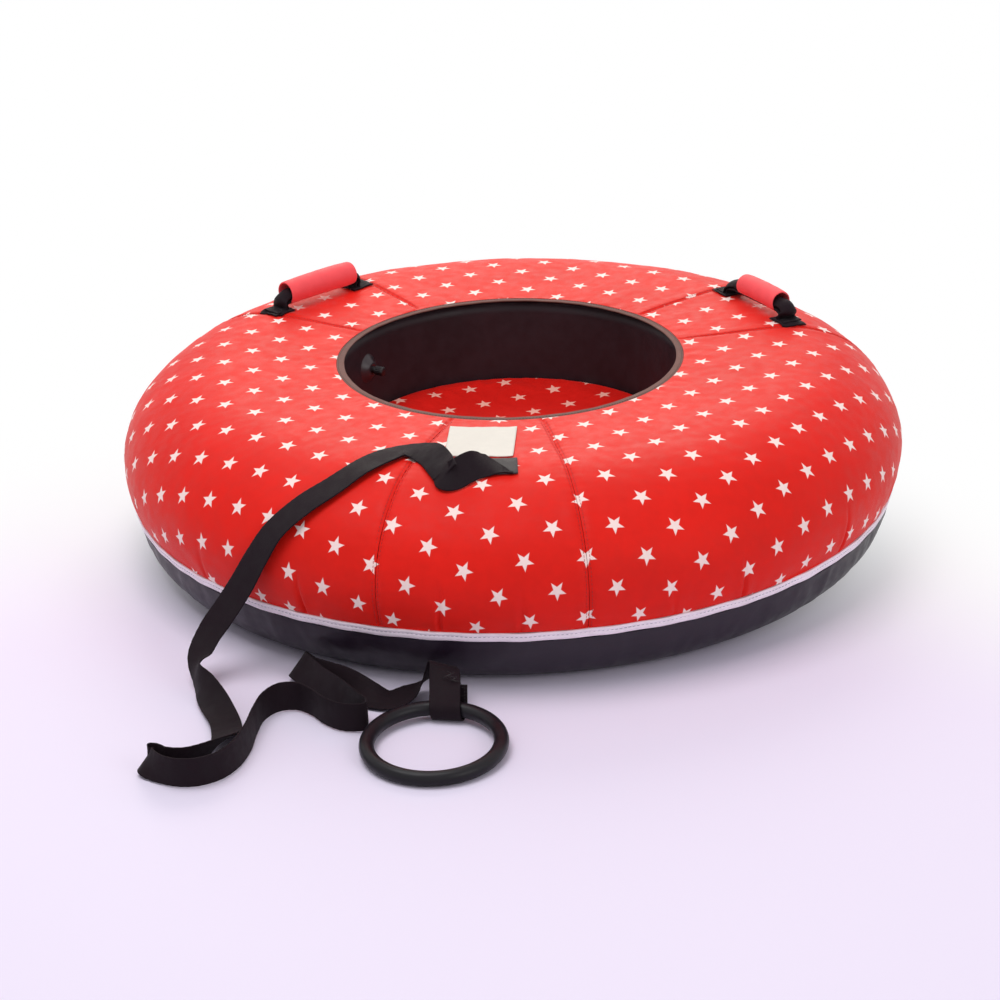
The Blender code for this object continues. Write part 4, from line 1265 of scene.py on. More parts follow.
@dataclass(frozen=True)
class Seat:
    """The raised seat in the opening: a printed panel on a foam pad."""

    rim_height: float = 0.1180
    radius: float = 0.2163
    dish: float = 0.0090
    edge: float = 0.0080
    turn_deg: float = -23.25
    shift: tuple = (0.2800, -0.4129)
    slack: float = 0.006
    pressure: float = 0.35
    frames: int = 20
    cap: float = 0.005
    pad_gap: float = 0.0002
    skirt: float = 0.0140
    gather: float = 0.0006
    gather_reach: float = 0.022
    pad_inset: float = 0.0018
    pad_floor: float = 0.0023
    pad_edge: float = 0.012
    pad_waist: float = 0.0015

    def panel(self) -> None:
        """Add the printed panel, slack over the pad and turned down at its rim."""
        share = np.linspace(0.0, 1.0, 90)
        flat = self.radius - self.edge
        top = np.stack((flat * share, self.rim_height - self.dish * (1.0 - share ** 2)), -1)
        angle = np.radians(np.linspace(0.0, 90.0, 10))[1:]
        bend = np.stack((flat + self.edge * np.sin(angle),
                         self.rim_height - self.edge * (1.0 - np.cos(angle))), -1)
        section = np.concatenate((top, bend, [(self.radius, self.rim_height - self.skirt)]))
        run = length_of(section)
        side = np.linspace(-1.0, 1.0, 97)
        a, b = np.meshgrid(side, side)
        x, y = a * np.sqrt(1.0 - b ** 2 / 2.0), b * np.sqrt(1.0 - a ** 2 / 2.0)
        turn, length = np.arctan2(y, x), np.hypot(x, y) * run[-1]
        reach = np.interp(length, run, section[:, 0])
        pull = np.sin(turn * 53.0 + 1.2 * np.sin(turn * 8.0)) + 0.7 * np.sin(turn * 31.0 + 2.0)
        x, y = reach * np.cos(turn), reach * np.sin(turn)
        near = bump(reach - flat, self.gather_reach) * (reach < flat + 0.001)
        relief = self.gather * pull * near
        points = np.stack((x, y, np.interp(length, run, section[:, 1]) + relief), -1)
        tilt = math.radians(self.turn_deg)
        u, v = length * np.cos(turn - tilt), length * np.sin(turn - tilt)
        # The seat's copy of the cloth, with painted shade and painted red bounce light
        piece = add_grid("seat_cloth", SHADED_SEAT_COVER, Grid(points, shifted_print(u, v, self.shift)))
        self.settle(piece)
        smooth = piece.modifiers.new("smooth", "SUBSURF")
        smooth.levels = smooth.render_levels = 1
        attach(piece, "cover")
        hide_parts("seat_panel")

    def settle(self, piece: bpy.types.Object) -> None:
        """Let the panel puff over its pad by a short cloth simulation, and keep the result.

        Its rim is held, its cut is a little larger than the frame, and no point moves far.

        Args:
            piece: the printed panel.
        """
        rest = np.empty(len(piece.data.vertices) * 3)
        piece.data.vertices.foreach_get("co", rest)
        rest = rest.reshape(-1, 3)
        held = np.hypot(rest[:, 0], rest[:, 1]) > self.radius - self.edge
        group = piece.vertex_groups.new(name="rim")
        group.add(np.flatnonzero(held).tolist(), 1.0, "REPLACE")
        cloth = piece.modifiers.new("slack", "CLOTH")
        cloth.settings.vertex_group_mass = group.name
        cloth.settings.quality = 5
        cloth.settings.mass = 0.2
        cloth.settings.shrink_min = -self.slack
        cloth.settings.use_pressure = True
        cloth.settings.uniform_pressure_force = self.pressure
        cloth.settings.effector_weights.gravity = 0.0
        cloth.collision_settings.use_collision = False
        scene = bpy.context.scene
        for k in range(1, self.frames + 1):
            scene.frame_set(k)
        moved = np.empty(rest.size)
        dressed = piece.evaluated_get(bpy.context.evaluated_depsgraph_get())
        dressed.data.vertices.foreach_get("co", moved)
        step = moved.reshape(-1, 3) - rest
        size = np.linalg.norm(step, axis=1, keepdims=True)
        step *= np.minimum(1.0, self.cap / np.maximum(size, 1e-9))
        step[:, 2] = np.maximum(step[:, 2], -self.pad_gap)
        LOG.info("seat cloth moved by up to %.1f mm", 1000.0 * float(size.max()))
        piece.modifiers.remove(cloth)
        piece.vertex_groups.remove(group)
        piece.data.vertices.foreach_set("co", (rest + step).astype(np.float32).ravel())
        piece.data.update()
        scene.frame_set(1)

    def pad(self) -> None:
        """Add the foam pad under the panel, with soft edges and a slack waist."""
        outer, edge = self.radius - self.pad_inset, self.pad_edge
        low, high = self.pad_floor, self.rim_height - self.pad_inset
        share = np.linspace(0.0, 1.0, 24)
        flat = outer - edge
        top = np.stack((flat * share, high - self.dish * (1.0 - share ** 2)), -1)
        rim = rounded_band(0.0, outer, low, high, edge, 8)[:16]
        way = np.linspace(0.0, 1.0, 12)[1:-1]
        waist = np.stack((outer - self.pad_waist * np.sin(math.pi * way),
                          high - edge + (low - high + 2.0 * edge) * way), -1)
        bottom = np.stack((flat * (1.0 - share), np.full(24, low)), -1)
        section = np.concatenate((top[:-1], rim[:8], waist, rim[8:16], bottom[1:]))
        grid = turned_grid(section[::-1], 160)
        piece = add_grid("seat_pad", FOAM, grid)
        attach(piece, "cover")
        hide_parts("seat_foam")

    def build(self) -> None:
        """Add the seat."""
        self.panel()
        self.pad()


# Route of the strap from its anchor to the ring: centre of the webbing, then the way across it
STRAP_ROUTE = np.array((
    (-0.0020, -0.3725, 0.2352, 0.00, -1.00, -0.06),
    (-0.0160, -0.3722, 0.2352, 0.06, -0.98, -0.14),
    (-0.0306, -0.3765, 0.2376, 0.16, -0.92, -0.34),
    (-0.0463, -0.3870, 0.2420, 0.13, -0.68, -0.72),
    (-0.0604, -0.3970, 0.2396, 0.15, -0.62, -0.77),
    (-0.0704, -0.4030, 0.2369, 0.03, -0.60, -0.79),
    (-0.0778, -0.4035, 0.2366, -0.18, -0.62, -0.76),
    (-0.0812, -0.3940, 0.2400, -0.44, -0.58, -0.67),
    (-0.0868, -0.3740, 0.2406, -0.68, -0.50, -0.52),
    (-0.0960, -0.3510, 0.2416, -0.70, -0.52, -0.48),
    (-0.1110, -0.3300, 0.2385, -0.45, -0.86, -0.15),
    (-0.1300, -0.3245, 0.2368, -0.14, -0.98, 0.06),
    (-0.1520, -0.3390, 0.2360, 0.20, -0.98, -0.02),
    (-0.1790, -0.3610, 0.2318, 0.40, -0.91, -0.05),
    (-0.2090, -0.3800, 0.2188, 0.50, -0.85, -0.12),
    (-0.2435, -0.3940, 0.2022, 0.54, -0.81, -0.14),
    (-0.2770, -0.4040, 0.1770, 0.62, -0.78, -0.06),
    (-0.2995, -0.4080, 0.1450, 0.72, -0.69, -0.04),
    (-0.3190, -0.4110, 0.1120, 0.78, -0.60, -0.05),
    (-0.3410, -0.4150, 0.0800, 0.84, -0.52, 0.05),
    (-0.3590, -0.4200, 0.0560, 0.88, -0.44, 0.12),
    (-0.3700, -0.4350, 0.0375, 0.88, -0.30, 0.34),
    (-0.3725, -0.4590, 0.0245, 0.30, -0.34, 0.88),
    (-0.3600, -0.4860, 0.0185, 0.66, 0.06, 0.74),
    (-0.3450, -0.5150, 0.0100, 0.93, 0.20, 0.24),
    (-0.3335, -0.5460, 0.0075, 0.98, 0.10, 0.02),
    (-0.3290, -0.5780, 0.0100, 0.97, -0.05, 0.25),
    (-0.3325, -0.6060, 0.0150, 0.75, -0.20, 0.62),
    (-0.3440, -0.6330, 0.0182, 0.30, -0.20, 0.93),
    (-0.3650, -0.6520, 0.0188, 0.06, 0.00, 1.00),
    (-0.3870, -0.6515, 0.0190, 0.22, 0.03, 0.97),
    (-0.4010, -0.6435, 0.0192, 0.45, -0.02, 0.89),
    (-0.4082, -0.6425, 0.0192, 0.56, -0.05, 0.82),
    (-0.4090, -0.6485, 0.0190, 0.56, -0.07, 0.82),
    (-0.4010, -0.6590, 0.0188, 0.38, -0.06, 0.92),
    (-0.3880, -0.6695, 0.0188, 0.14, -0.02, 0.99),
    (-0.3710, -0.6765, 0.0188, 0.00, 0.00, 1.00),
    (-0.3500, -0.6760, 0.0188, 0.00, 0.00, 1.00),
    (-0.3290, -0.6640, 0.0188, -0.06, 0.00, 1.00),
    (-0.3130, -0.6400, 0.0188, -0.10, 0.00, 1.00),
    (-0.3030, -0.6050, 0.0188, -0.12, 0.00, 1.00),
    (-0.2980, -0.5660, 0.0188, -0.06, 0.00, 1.00),
    (-0.2900, -0.5320, 0.0188, 0.00, 0.06, 1.00),
    (-0.2740, -0.5130, 0.0188, 0.00, 0.10, 1.00),
    (-0.2550, -0.5120, 0.0188, 0.00, 0.08, 1.00),
    (-0.2380, -0.5260, 0.0188, 0.00, 0.00, 1.00),
    (-0.2220, -0.5480, 0.0188, 0.00, 0.00, 1.00),
    (-0.2040, -0.5630, 0.0188, 0.00, 0.00, 1.00),
    (-0.1850, -0.5670, 0.0188, 0.00, 0.00, 1.00),
    (-0.1745, -0.5630, 0.0188, 0.00, 0.00, 1.00),
    (-0.1740, -0.5550, 0.0188, 0.00, 0.00, 1.00),
    (-0.1830, -0.5430, 0.0188, 0.05, 0.05, 1.00),
    (-0.2060, -0.5090, 0.0182, 0.20, 0.15, 0.96),
    (-0.2330, -0.4730, 0.0170, 0.40, 0.24, 0.88),
    (-0.2495, -0.4490, 0.0188, 0.55, 0.27, 0.79),
    (-0.2578, -0.4368, 0.0201, 0.60, 0.28, 0.75),
    (-0.2577, -0.4311, 0.0178, 0.60, 0.28, 0.75),
    (-0.2522, -0.4332, 0.0143, 0.60, 0.28, 0.75),
    (-0.2426, -0.4457, 0.0142, 0.52, 0.30, 0.80),
    (-0.2040, -0.4750, 0.0160, 0.20, 0.44, 0.87),
    (-0.1765, -0.4980, 0.0115, 0.05, 0.84, 0.53),
    (-0.1510, -0.5060, 0.0070, -0.10, 0.98, 0.16),
    (-0.1290, -0.4980, 0.0115, -0.05, 0.98, 0.10),
    (-0.1120, -0.4925, 0.0215, 0.20, 0.95, -0.25),
    (-0.0990, -0.4930, 0.0345, 0.55, 0.72, -0.40),
    (-0.0905, -0.4985, 0.0460, 0.80, 0.40, -0.45),
    (-0.0872, -0.5090, 0.0495, 0.92, 0.12, -0.36),
    (-0.0866, -0.5240, 0.0420, 0.97, -0.06, -0.14),
    (-0.0870, -0.5375, 0.0330, 0.98, -0.17, 0.00),
))


def route_between(rows: np.ndarray, per_span: int) -> np.ndarray:
    """Return points on a smooth curve through route rows.

    Args:
        rows: n x 6, a place and a direction each.
        per_span: how many points to read between two rows.

    Returns:
        A Catmull-Rom curve of both, its knots spaced by the root of the distance between places.
    """
    before, after = rows[0].copy(), rows[-1].copy()
    before[:3] = 2.0 * rows[0, :3] - rows[1, :3]
    after[:3] = 2.0 * rows[-1, :3] - rows[-2, :3]
    padded = np.vstack((before, rows, after))
    step = np.sqrt(np.linalg.norm(np.diff(padded[:, :3], axis=0), axis=1))
    spans = len(rows) - 1
    near = [padded[k:k + spans, None] for k in range(4)]
    knots = [np.zeros((spans, 1, 1))]
    for k in range(3):
        knots.append(knots[-1] + step[k:k + spans, None, None])
    share = (np.arange(per_span) / per_span)[None, :, None]
    t = knots[1] + (knots[2] - knots[1]) * share

    def between(a: np.ndarray, b: np.ndarray, k: int, m: int) -> np.ndarray:
        """Return the straight mix of two values from knot k to knot m."""
        return a + (b - a) * (t - knots[k]) / (knots[m] - knots[k])

    level = [between(near[k], near[k + 1], k, k + 1) for k in range(3)]
    level = [between(level[k], level[k + 1], k, k + 2) for k in range(2)]
    return np.vstack((between(level[0], level[1], 1, 2).reshape(-1, 6), rows[-1]))


class Ribbon:
    """A flat woven strap: a thin section with round edges, carried along a route."""

    def __init__(self, width: float, thickness: float, columns: int = 14) -> None:
        """Make the section once, with fine steps near its round edges.

        Args:
            width: across the strap.
            thickness: through it.
            columns: points along each of its faces.
        """
        half, edge = width / 2.0, thickness / 2.0
        share = np.linspace(-1.0, 1.0, columns)
        flat = (half - edge) * np.sin(share * math.pi / 2.0)
        arc = np.radians(np.linspace(90.0, -90.0, 5))[1:-1]
        right = np.stack((half - edge + edge * np.cos(arc), edge * np.sin(arc)), -1)
        top = np.stack((flat, np.full(columns, edge)), -1)
        self.section = np.concatenate((top, right, -top, -right))
        self.width = width

    def carry(self, centre: np.ndarray, across: np.ndarray, curl: np.ndarray = None,
              floor: float = None, wave: float = 0.0, skew: float = 0.0) -> Grid:
        """Carry the section along a route.

        Args:
            centre: n x 3 middle of the webbing.
            across: n x 3 direction across it.
            curl: n bends of the section, in radians a metre, or none where it stays flat.
            floor: a height that no part of it goes below.
            wave: how far the selvedges ripple, in metres.
            skew: length over which the start is folded back on the skew, to a corner.

        Returns:
            A closed tube-like grid, its ends drawn together.
        """
        along = unit(np.gradient(centre, axis=0))
        across = unit(across - along * (across * along).sum(-1, keepdims=True))
        face = np.cross(along, across)
        run = length_of(centre)
        u = np.broadcast_to(self.section[:, 0], (len(centre), len(self.section)))
        w = np.broadcast_to(self.section[:, 1], u.shape).copy()
        edge = np.abs(u) / (self.width / 2.0)
        ripple = np.sin(run / 0.0093 * math.tau + 1.5 * np.sin(run * 57.0))[:, None]
        w += wave * edge ** 4 * ripple
        w[0], w[-1] = 0.0, 0.0
        if skew:
            half = self.width / 2.0
            u = half - (half - u) * np.clip(run / skew, 0.08, 1.0)[:, None]
        if curl is not None:
            bend = np.maximum(curl, 1e-3)[:, None]
            high = 1.0 / bend - (1.0 / bend - w) * np.cos(u * bend)
            u = (1.0 / bend - w) * np.sin(u * bend)
            w = high - high.mean(-1, keepdims=True)
        points = centre[:, None] + across[:, None] * u[..., None] + face[:, None] * w[..., None]
        if floor is not None:
            points[..., 2] += np.maximum(0.0, floor - points[..., 2].min(-1, keepdims=True))
        cloth = np.stack(np.broadcast_arrays(self.section[None, :, 0], run[:, None]), -1)
        return Grid(points, cloth, ring_columns=True)


@dataclass(frozen=True)
class TowSize:
    """Tow strap and ring as in the solid model, and how the strap starts after the photograph."""

    width: float = 0.0350
    thickness: float = 0.0018
    ring_radius: float = 0.0738
    ring_tube: float = 0.0085
    ring_x: float = -0.0990
    ring_y: float = -0.6150
    loop_azimuth_deg: float = 80.0
    clearance: float = 0.0036
    loop_start_deg: float = 30.0
    loop_end_deg: float = 250.0
    loop_steps: int = 12
    tail_rise: float = 0.0258
    tail_lean: float = 0.0050
    tail_skew: float = 0.0045
    skew: float = 0.0270
    seat: float = 0.0034
    ripple: float = 0.00018
    sewing: Stitching = Stitching(0.0036, 0.0028, 0.00032)
    loose_threads: int = 7
    fit: float = 0.0003


class TowStrap:
    """The webbing from its anchor over the shoulder to the floor, and the ring in its loop."""

    def __init__(self, shape: CoverShape) -> None:
        """Work out where the loop holds the ring.

        Args:
            shape: the cover that the strap starts on.
        """
        size = TowSize()
        self.size = size
        self.shape = shape
        turn = math.radians(size.loop_azimuth_deg)
        self.outward = np.array((math.cos(turn), math.sin(turn), 0.0))
        self.across = np.array((math.sin(turn), -math.cos(turn), 0.0))
        self.hinge = size.ring_tube + size.clearance + size.thickness + size.fit
        self.tilt = math.asin((self.hinge - size.ring_tube) / (2.0 * size.ring_radius))
        reach = size.ring_radius * math.cos(self.tilt)
        self.centre = np.array((size.ring_x, size.ring_y, 0.0)) + self.outward * reach
        self.centre[2] = self.hinge

    def rows(self) -> np.ndarray:
        """Join the strap's laid part to its loop.

        The loop is an arc about the ring's tube, and the sewn tail climbs straight from its end.

        Returns:
            Places and directions across the webbing, n x 6.
        """
        size = self.size
        up = np.array((0.0, 0.0, 1.0))
        reach = size.ring_tube + size.clearance + size.thickness / 2.0
        share = np.arange(size.loop_steps + 1)[:, None] / size.loop_steps
        angle = np.radians(size.loop_start_deg + (size.loop_end_deg - size.loop_start_deg) * share)
        loop = self.centre + (up * np.cos(angle) - self.outward * np.sin(angle)) * reach
        loop = loop + self.across * size.tail_skew * share
        share = np.array(((0.5,), (1.0,)))
        tail = loop[-1] + up * size.tail_rise * share + self.outward * size.tail_lean * share
        formed = np.concatenate((loop, tail))
        formed = np.hstack((formed, np.tile(self.across, (len(formed), 1))))
        return np.vstack((STRAP_ROUTE, formed))

    def strap(self, ring: bpy.types.Object) -> None:
        """Args:
            ring: the ring that its loop holds; not used.
        """
        size = self.size
        rows = self.rows()
        route = route_between(rows, 12)
        centre, across = route[:, :3], route[:, 3:]
        grid = Ribbon(size.width, size.thickness).carry(centre, across, floor=size.fit,
                                                        wave=size.ripple, skew=size.skew)
        self.lay_down(grid)
        piece = add_grid("tow_webbing", WEBBING, grid, 75.0)
        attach(piece, "cover")
        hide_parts("tow_strap")
        threads = self.threads(route)

    def lay_down(self, grid: Grid) -> None:
        """Press the strap's first stretch onto its anchor patch, as the sewing does.

        Args:
            grid: the strap's surface, changed in place.
        """
        run = length_of(grid.points.mean(1))[:, None, None]
        x, y = grid.points[..., 0], grid.points[..., 1]
        above = np.where(np.arange(grid.points.shape[1]) < grid.points.shape[1] // 2, 1.0, -1.0)
        lift = self.size.seat + self.size.thickness / 2.0 * above
        flat = self.shape.on_top(x, y, np.broadcast_to(lift, x.shape))
        grid.points += (flat - grid.points) * (1.0 - ease(run / self.size.skew))

    def threads(self, route: np.ndarray) -> bpy.types.Object:
        """Add the loop's sewn rows and the loose ends of thread at its tail.

        Args:
            route: the webbing's middle and the way across it, n x 6.

        Returns:
            The piece.
        """
        size = self.size
        along = unit(np.gradient(route[:, :3], axis=0))
        across = unit(route[:, 3:] - along * (route[:, 3:] * along).sum(-1, keepdims=True))
        face = np.cross(along, across)
        top = -size.thickness / 2.0 - 0.0001
        tail = slice(len(route) - 24, len(route) - 2)
        share = np.linspace(-0.80, 0.80, 12)
        rows = []
        for side in (-0.84, -0.42, 0.0, 0.42, 0.84):
            path = route[tail, :3] + across[tail] * side * size.width / 2.0 + face[tail] * top
            rows.append((path, -face[tail]))
        for k in (len(route) - 23, len(route) - 13, len(route) - 4):
            path = route[k, :3] + across[k] * share[:, None] * size.width / 2.0 + face[k] * top
            rows.append((path, np.tile(-face[k], (12, 1))))
        parts = [size.sewing.row(path, normal) for path, normal in rows]
        for k in range(size.loose_threads):
            start = route[-1, :3] + across[-1] * (0.30 - 0.11 * k) * size.width
            step = np.linspace(0.0, 1.0, 16)[:, None]
            curl = 0.004 * np.sin(step * (5.0 + k) + k) * step
            line = start + (across[-1] * (-0.006 + 0.003 * k) + along[-1] * (0.008 + 0.0016 * k)
                            - face[-1] * 0.007) * step + across[-1] * curl + face[-1] * curl * 0.6
            parts.append(thread_line(line, 0.00024))
        points, faces = merge(parts)
        piece = add_piece("loop_stitches", DARK_THREAD, points, faces)
        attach(piece, "cover")
        return piece

    def ring(self) -> bpy.types.Object:
        """Add the rubber ring, with its faint mould line, leaning on the floor from its loop.

        Returns:
            The piece.
        """
        size = self.size
        angle = circle(40)
        swell = size.ring_tube + 0.00012 * bump(np.sin(angle) - 1.0, 0.02)
        section = np.stack((size.ring_radius + swell * np.cos(angle), swell * np.sin(angle)), -1)
        grid = turned_grid(section[::-1], 220, closed=True)
        turn = Matrix.Rotation(self.tilt, 4, Vector(self.across))
        middle = Vector(self.centre) - turn.to_3x3() @ Vector(self.outward) * size.ring_radius
        points = grid.points @ np.array(turn.to_3x3()).T + np.array(middle)
        piece = add_piece("pull_ring", RING_RUBBER, points, grid.faces(), grid.cloth)
        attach(piece, "ring")
        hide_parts("tow_ring")
        return piece

    def build(self) -> None:
        """Add the strap and the ring."""
        self.strap(self.ring())


def thread_line(line: np.ndarray, radius: float) -> Grid:
    """Carry a circle along a line, pointed at both ends.

    Args:
        line: n x 3 points.
        radius: the thread's radius.

    Returns:
        Its surface.
    """
    along = unit(np.gradient(line, axis=0))
    aside = unit(np.cross(along, np.array((0.31, 0.17, 0.93))))
    other = np.cross(along, aside)
    angle = circle(6)
    fat = radius * np.clip(np.minimum(np.arange(len(line)), np.arange(len(line))[::-1]), 0.02, 1.0)
    ring = aside[:, None] * np.cos(angle)[:, None] + other[:, None] * np.sin(angle)[:, None]
    return Grid(line[:, None] + ring * fat[:, None, None], ring_columns=True)


def square_rows(half_u: float, half_v: float, crossed: bool) -> list:
    """Draw the lines of a sewn box.

    Args:
        half_u: half its length.
        half_v: half its width.
        crossed: whether it has a cross.

    Returns:
        Lines as n x 2 arrays.
    """
    corners = np.array(((-1, -1), (1, -1), (1, 1), (-1, 1), (-1, -1)), float) * (half_u, half_v)
    lines = [np.linspace(a, b, 14) for a, b in zip(corners, corners[1:])]
    if crossed:
        lines += [np.linspace(corners[k], corners[k + 2], 18) for k in (0, 1)]
    return lines


@dataclass(frozen=True)
class Patch:
    """A small sewn rectangle of cloth or webbing lying on the cover."""

    shape: CoverShape
    centre: tuple
    size: tuple
    turn_deg: float
    thickness: float
    steps: int = 40
    lift: float = 0.0003
    worn_edge: float = 0.35
    uneven: float = 0.00015

    def plan(self, u: np.ndarray, v: np.ndarray) -> tuple:
        """Turn the patch's own coordinates about its middle.

        Args:
            u: places along it.
            v: places across it.

        Returns:
            x and y in plan.
        """
        turn = math.radians(self.turn_deg)
        return (self.centre[0] + u * math.cos(turn) - v * math.sin(turn),
                self.centre[1] + u * math.sin(turn) + v * math.cos(turn))

    def add(self, name: str, finish: Finish, node: str, curl: float = 0.0) -> bpy.types.Object:
        """Add the patch, thinner at its edge, its borders and corners lifted by the curl.

        Args:
            name: the piece's name.
            finish: its cloth.
            node: the node that it stands for.
            curl: how far its borders lift, in metres.

        Returns:
            The piece.
        """
        u, v = np.meshgrid(np.linspace(-0.5, 0.5, self.steps) * self.size[0],
                           np.linspace(0.5, -0.5, self.steps) * self.size[1])
        edge_u, edge_v = np.abs(u) / self.size[0] * 2.0, np.abs(v) / self.size[1] * 2.0
        thin = self.worn_edge * self.thickness * np.maximum(edge_u, edge_v) ** 24
        rise = self.lift + self.thickness - thin
        rise = rise + curl * (edge_u ** 6 + edge_v ** 6 + 3.0 * (edge_u * edge_v) ** 5) / 3.0
        rise = rise + self.uneven * drift(u * 210.0, v * 190.0, 1.3)
        grid = Grid(self.shape.on_top(*self.plan(u, v), rise), np.stack((u, v), -1))
        piece = add_grid(name, finish, grid)
        solid = piece.modifiers.new("thickness", "SOLIDIFY")
        solid.thickness, solid.offset = self.thickness, -1.0
        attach(piece, "cover")
        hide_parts(node)
        return piece

    def stitch_rows(self, inset: float, crossed: bool, lift: float = 0.0) -> list:
        """Lay out the stitches of the patch's box.

        Args:
            inset: how far they stand in from its edge.
            crossed: whether the box has a cross.
            lift: their height above the patch.

        Returns:
            Pairs of a path and its normals.
        """
        rows = []
        for line in square_rows(self.size[0] / 2.0 - inset, self.size[1] / 2.0 - inset, crossed):
            place = self.plan(line[:, 0], line[:, 1])
            low = self.shape.on_top(*place, 0.0004 + self.thickness + lift)
            high = self.shape.on_top(*place, 0.0104 + self.thickness + lift)
            rows.append((low, unit(high - low)))
        return rows


@dataclass(frozen=True)
class FrontTrim:
    """Bare care label and the patch that anchors the tow strap."""

    shape: CoverShape
    label_centre: tuple = (-0.0385, -0.2960)
    label_size: tuple = (0.0800, 0.0930)
    label_turn_deg: float = -4.0
    label_sheet: float = 0.0008
    label_curl: float = 0.0007
    label_inset: float = 0.0035
    label_sewing: Stitching = Stitching(0.0034, 0.0026, 0.00022)
    anchor_centre: tuple = (-0.0165, -0.3700)
    anchor_size: tuple = (0.0380, 0.0370)
    anchor_sheet: float = 0.0014
    anchor_inset: float = 0.0030
    anchor_sewing: Stitching = Stitching(0.0034, 0.0026, 0.00028)

    def build(self) -> None:
        """Add both, with their stitches."""
        label = Patch(self.shape, self.label_centre, self.label_size, self.label_turn_deg,
                      self.label_sheet)
        piece = label.add("care_tag", LABEL, "care_label", curl=self.label_curl)
        self.label_sewing.sew("tag_stitches", LABEL_THREAD,
                              label.stitch_rows(self.label_inset, False), "cover")
        anchor = Patch(self.shape, self.anchor_centre, self.anchor_size, 0.0, self.anchor_sheet)
        anchor.add("anchor_square", ANCHOR_CLOTH, "tow_anchor_patch")
        self.anchor_sewing.sew("anchor_stitches", DARK_THREAD,
                               anchor.stitch_rows(self.anchor_inset, True), "cover")


@dataclass(frozen=True)
class Grip:
    """One handle: its side, azimuth, outset from the crest, twist, and how its sleeve sits."""

    side: str
    azimuth_deg: float
    outset: float
    twist_deg: float
    slide: float
    length: float
    girth: float = 1.0
    droop: float = 0.0


GRIPS = (Grip("left", 137.6, -0.0032, -4.1, -0.0030, 0.1150),
         Grip("right", 24.0, 0.0114, 3.1, -0.0110, 0.0860, girth=0.90, droop=0.15))


@dataclass(frozen=True)
class HandleSize:
    """Handle sizes, as in the solid model, and the webbing's layers after the photograph."""

    spacing: float = 0.1400
    mouth: float = 0.0575
    patch: float = 0.0340
    patch_sheet: float = 0.0014
    sleeve_radius: float = 0.0165
    sleeve_wall: float = 0.0032
    sleeve_edge: float = 0.0014
    sleeve_lip: float = 0.0008
    sleeve_pinch: float = 0.0006
    pinch_reach: float = 0.010
    sleeve_uneven: float = 0.00022
    sleeve_arch: float = 0.0010
    rise: float = 0.0220
    web: float = 0.0250
    web_thickness: float = 0.0018
    tail: float = 0.0120
    layers: tuple = ((1.0, 0.0, 0.0285, 0.0122), (0.62, 0.0050, 0.0240, 0.0150))
    ripple: float = 0.0003
    fit: float = 0.0003
    sewing: Stitching = Stitching(0.0030, 0.0023, 0.00026)


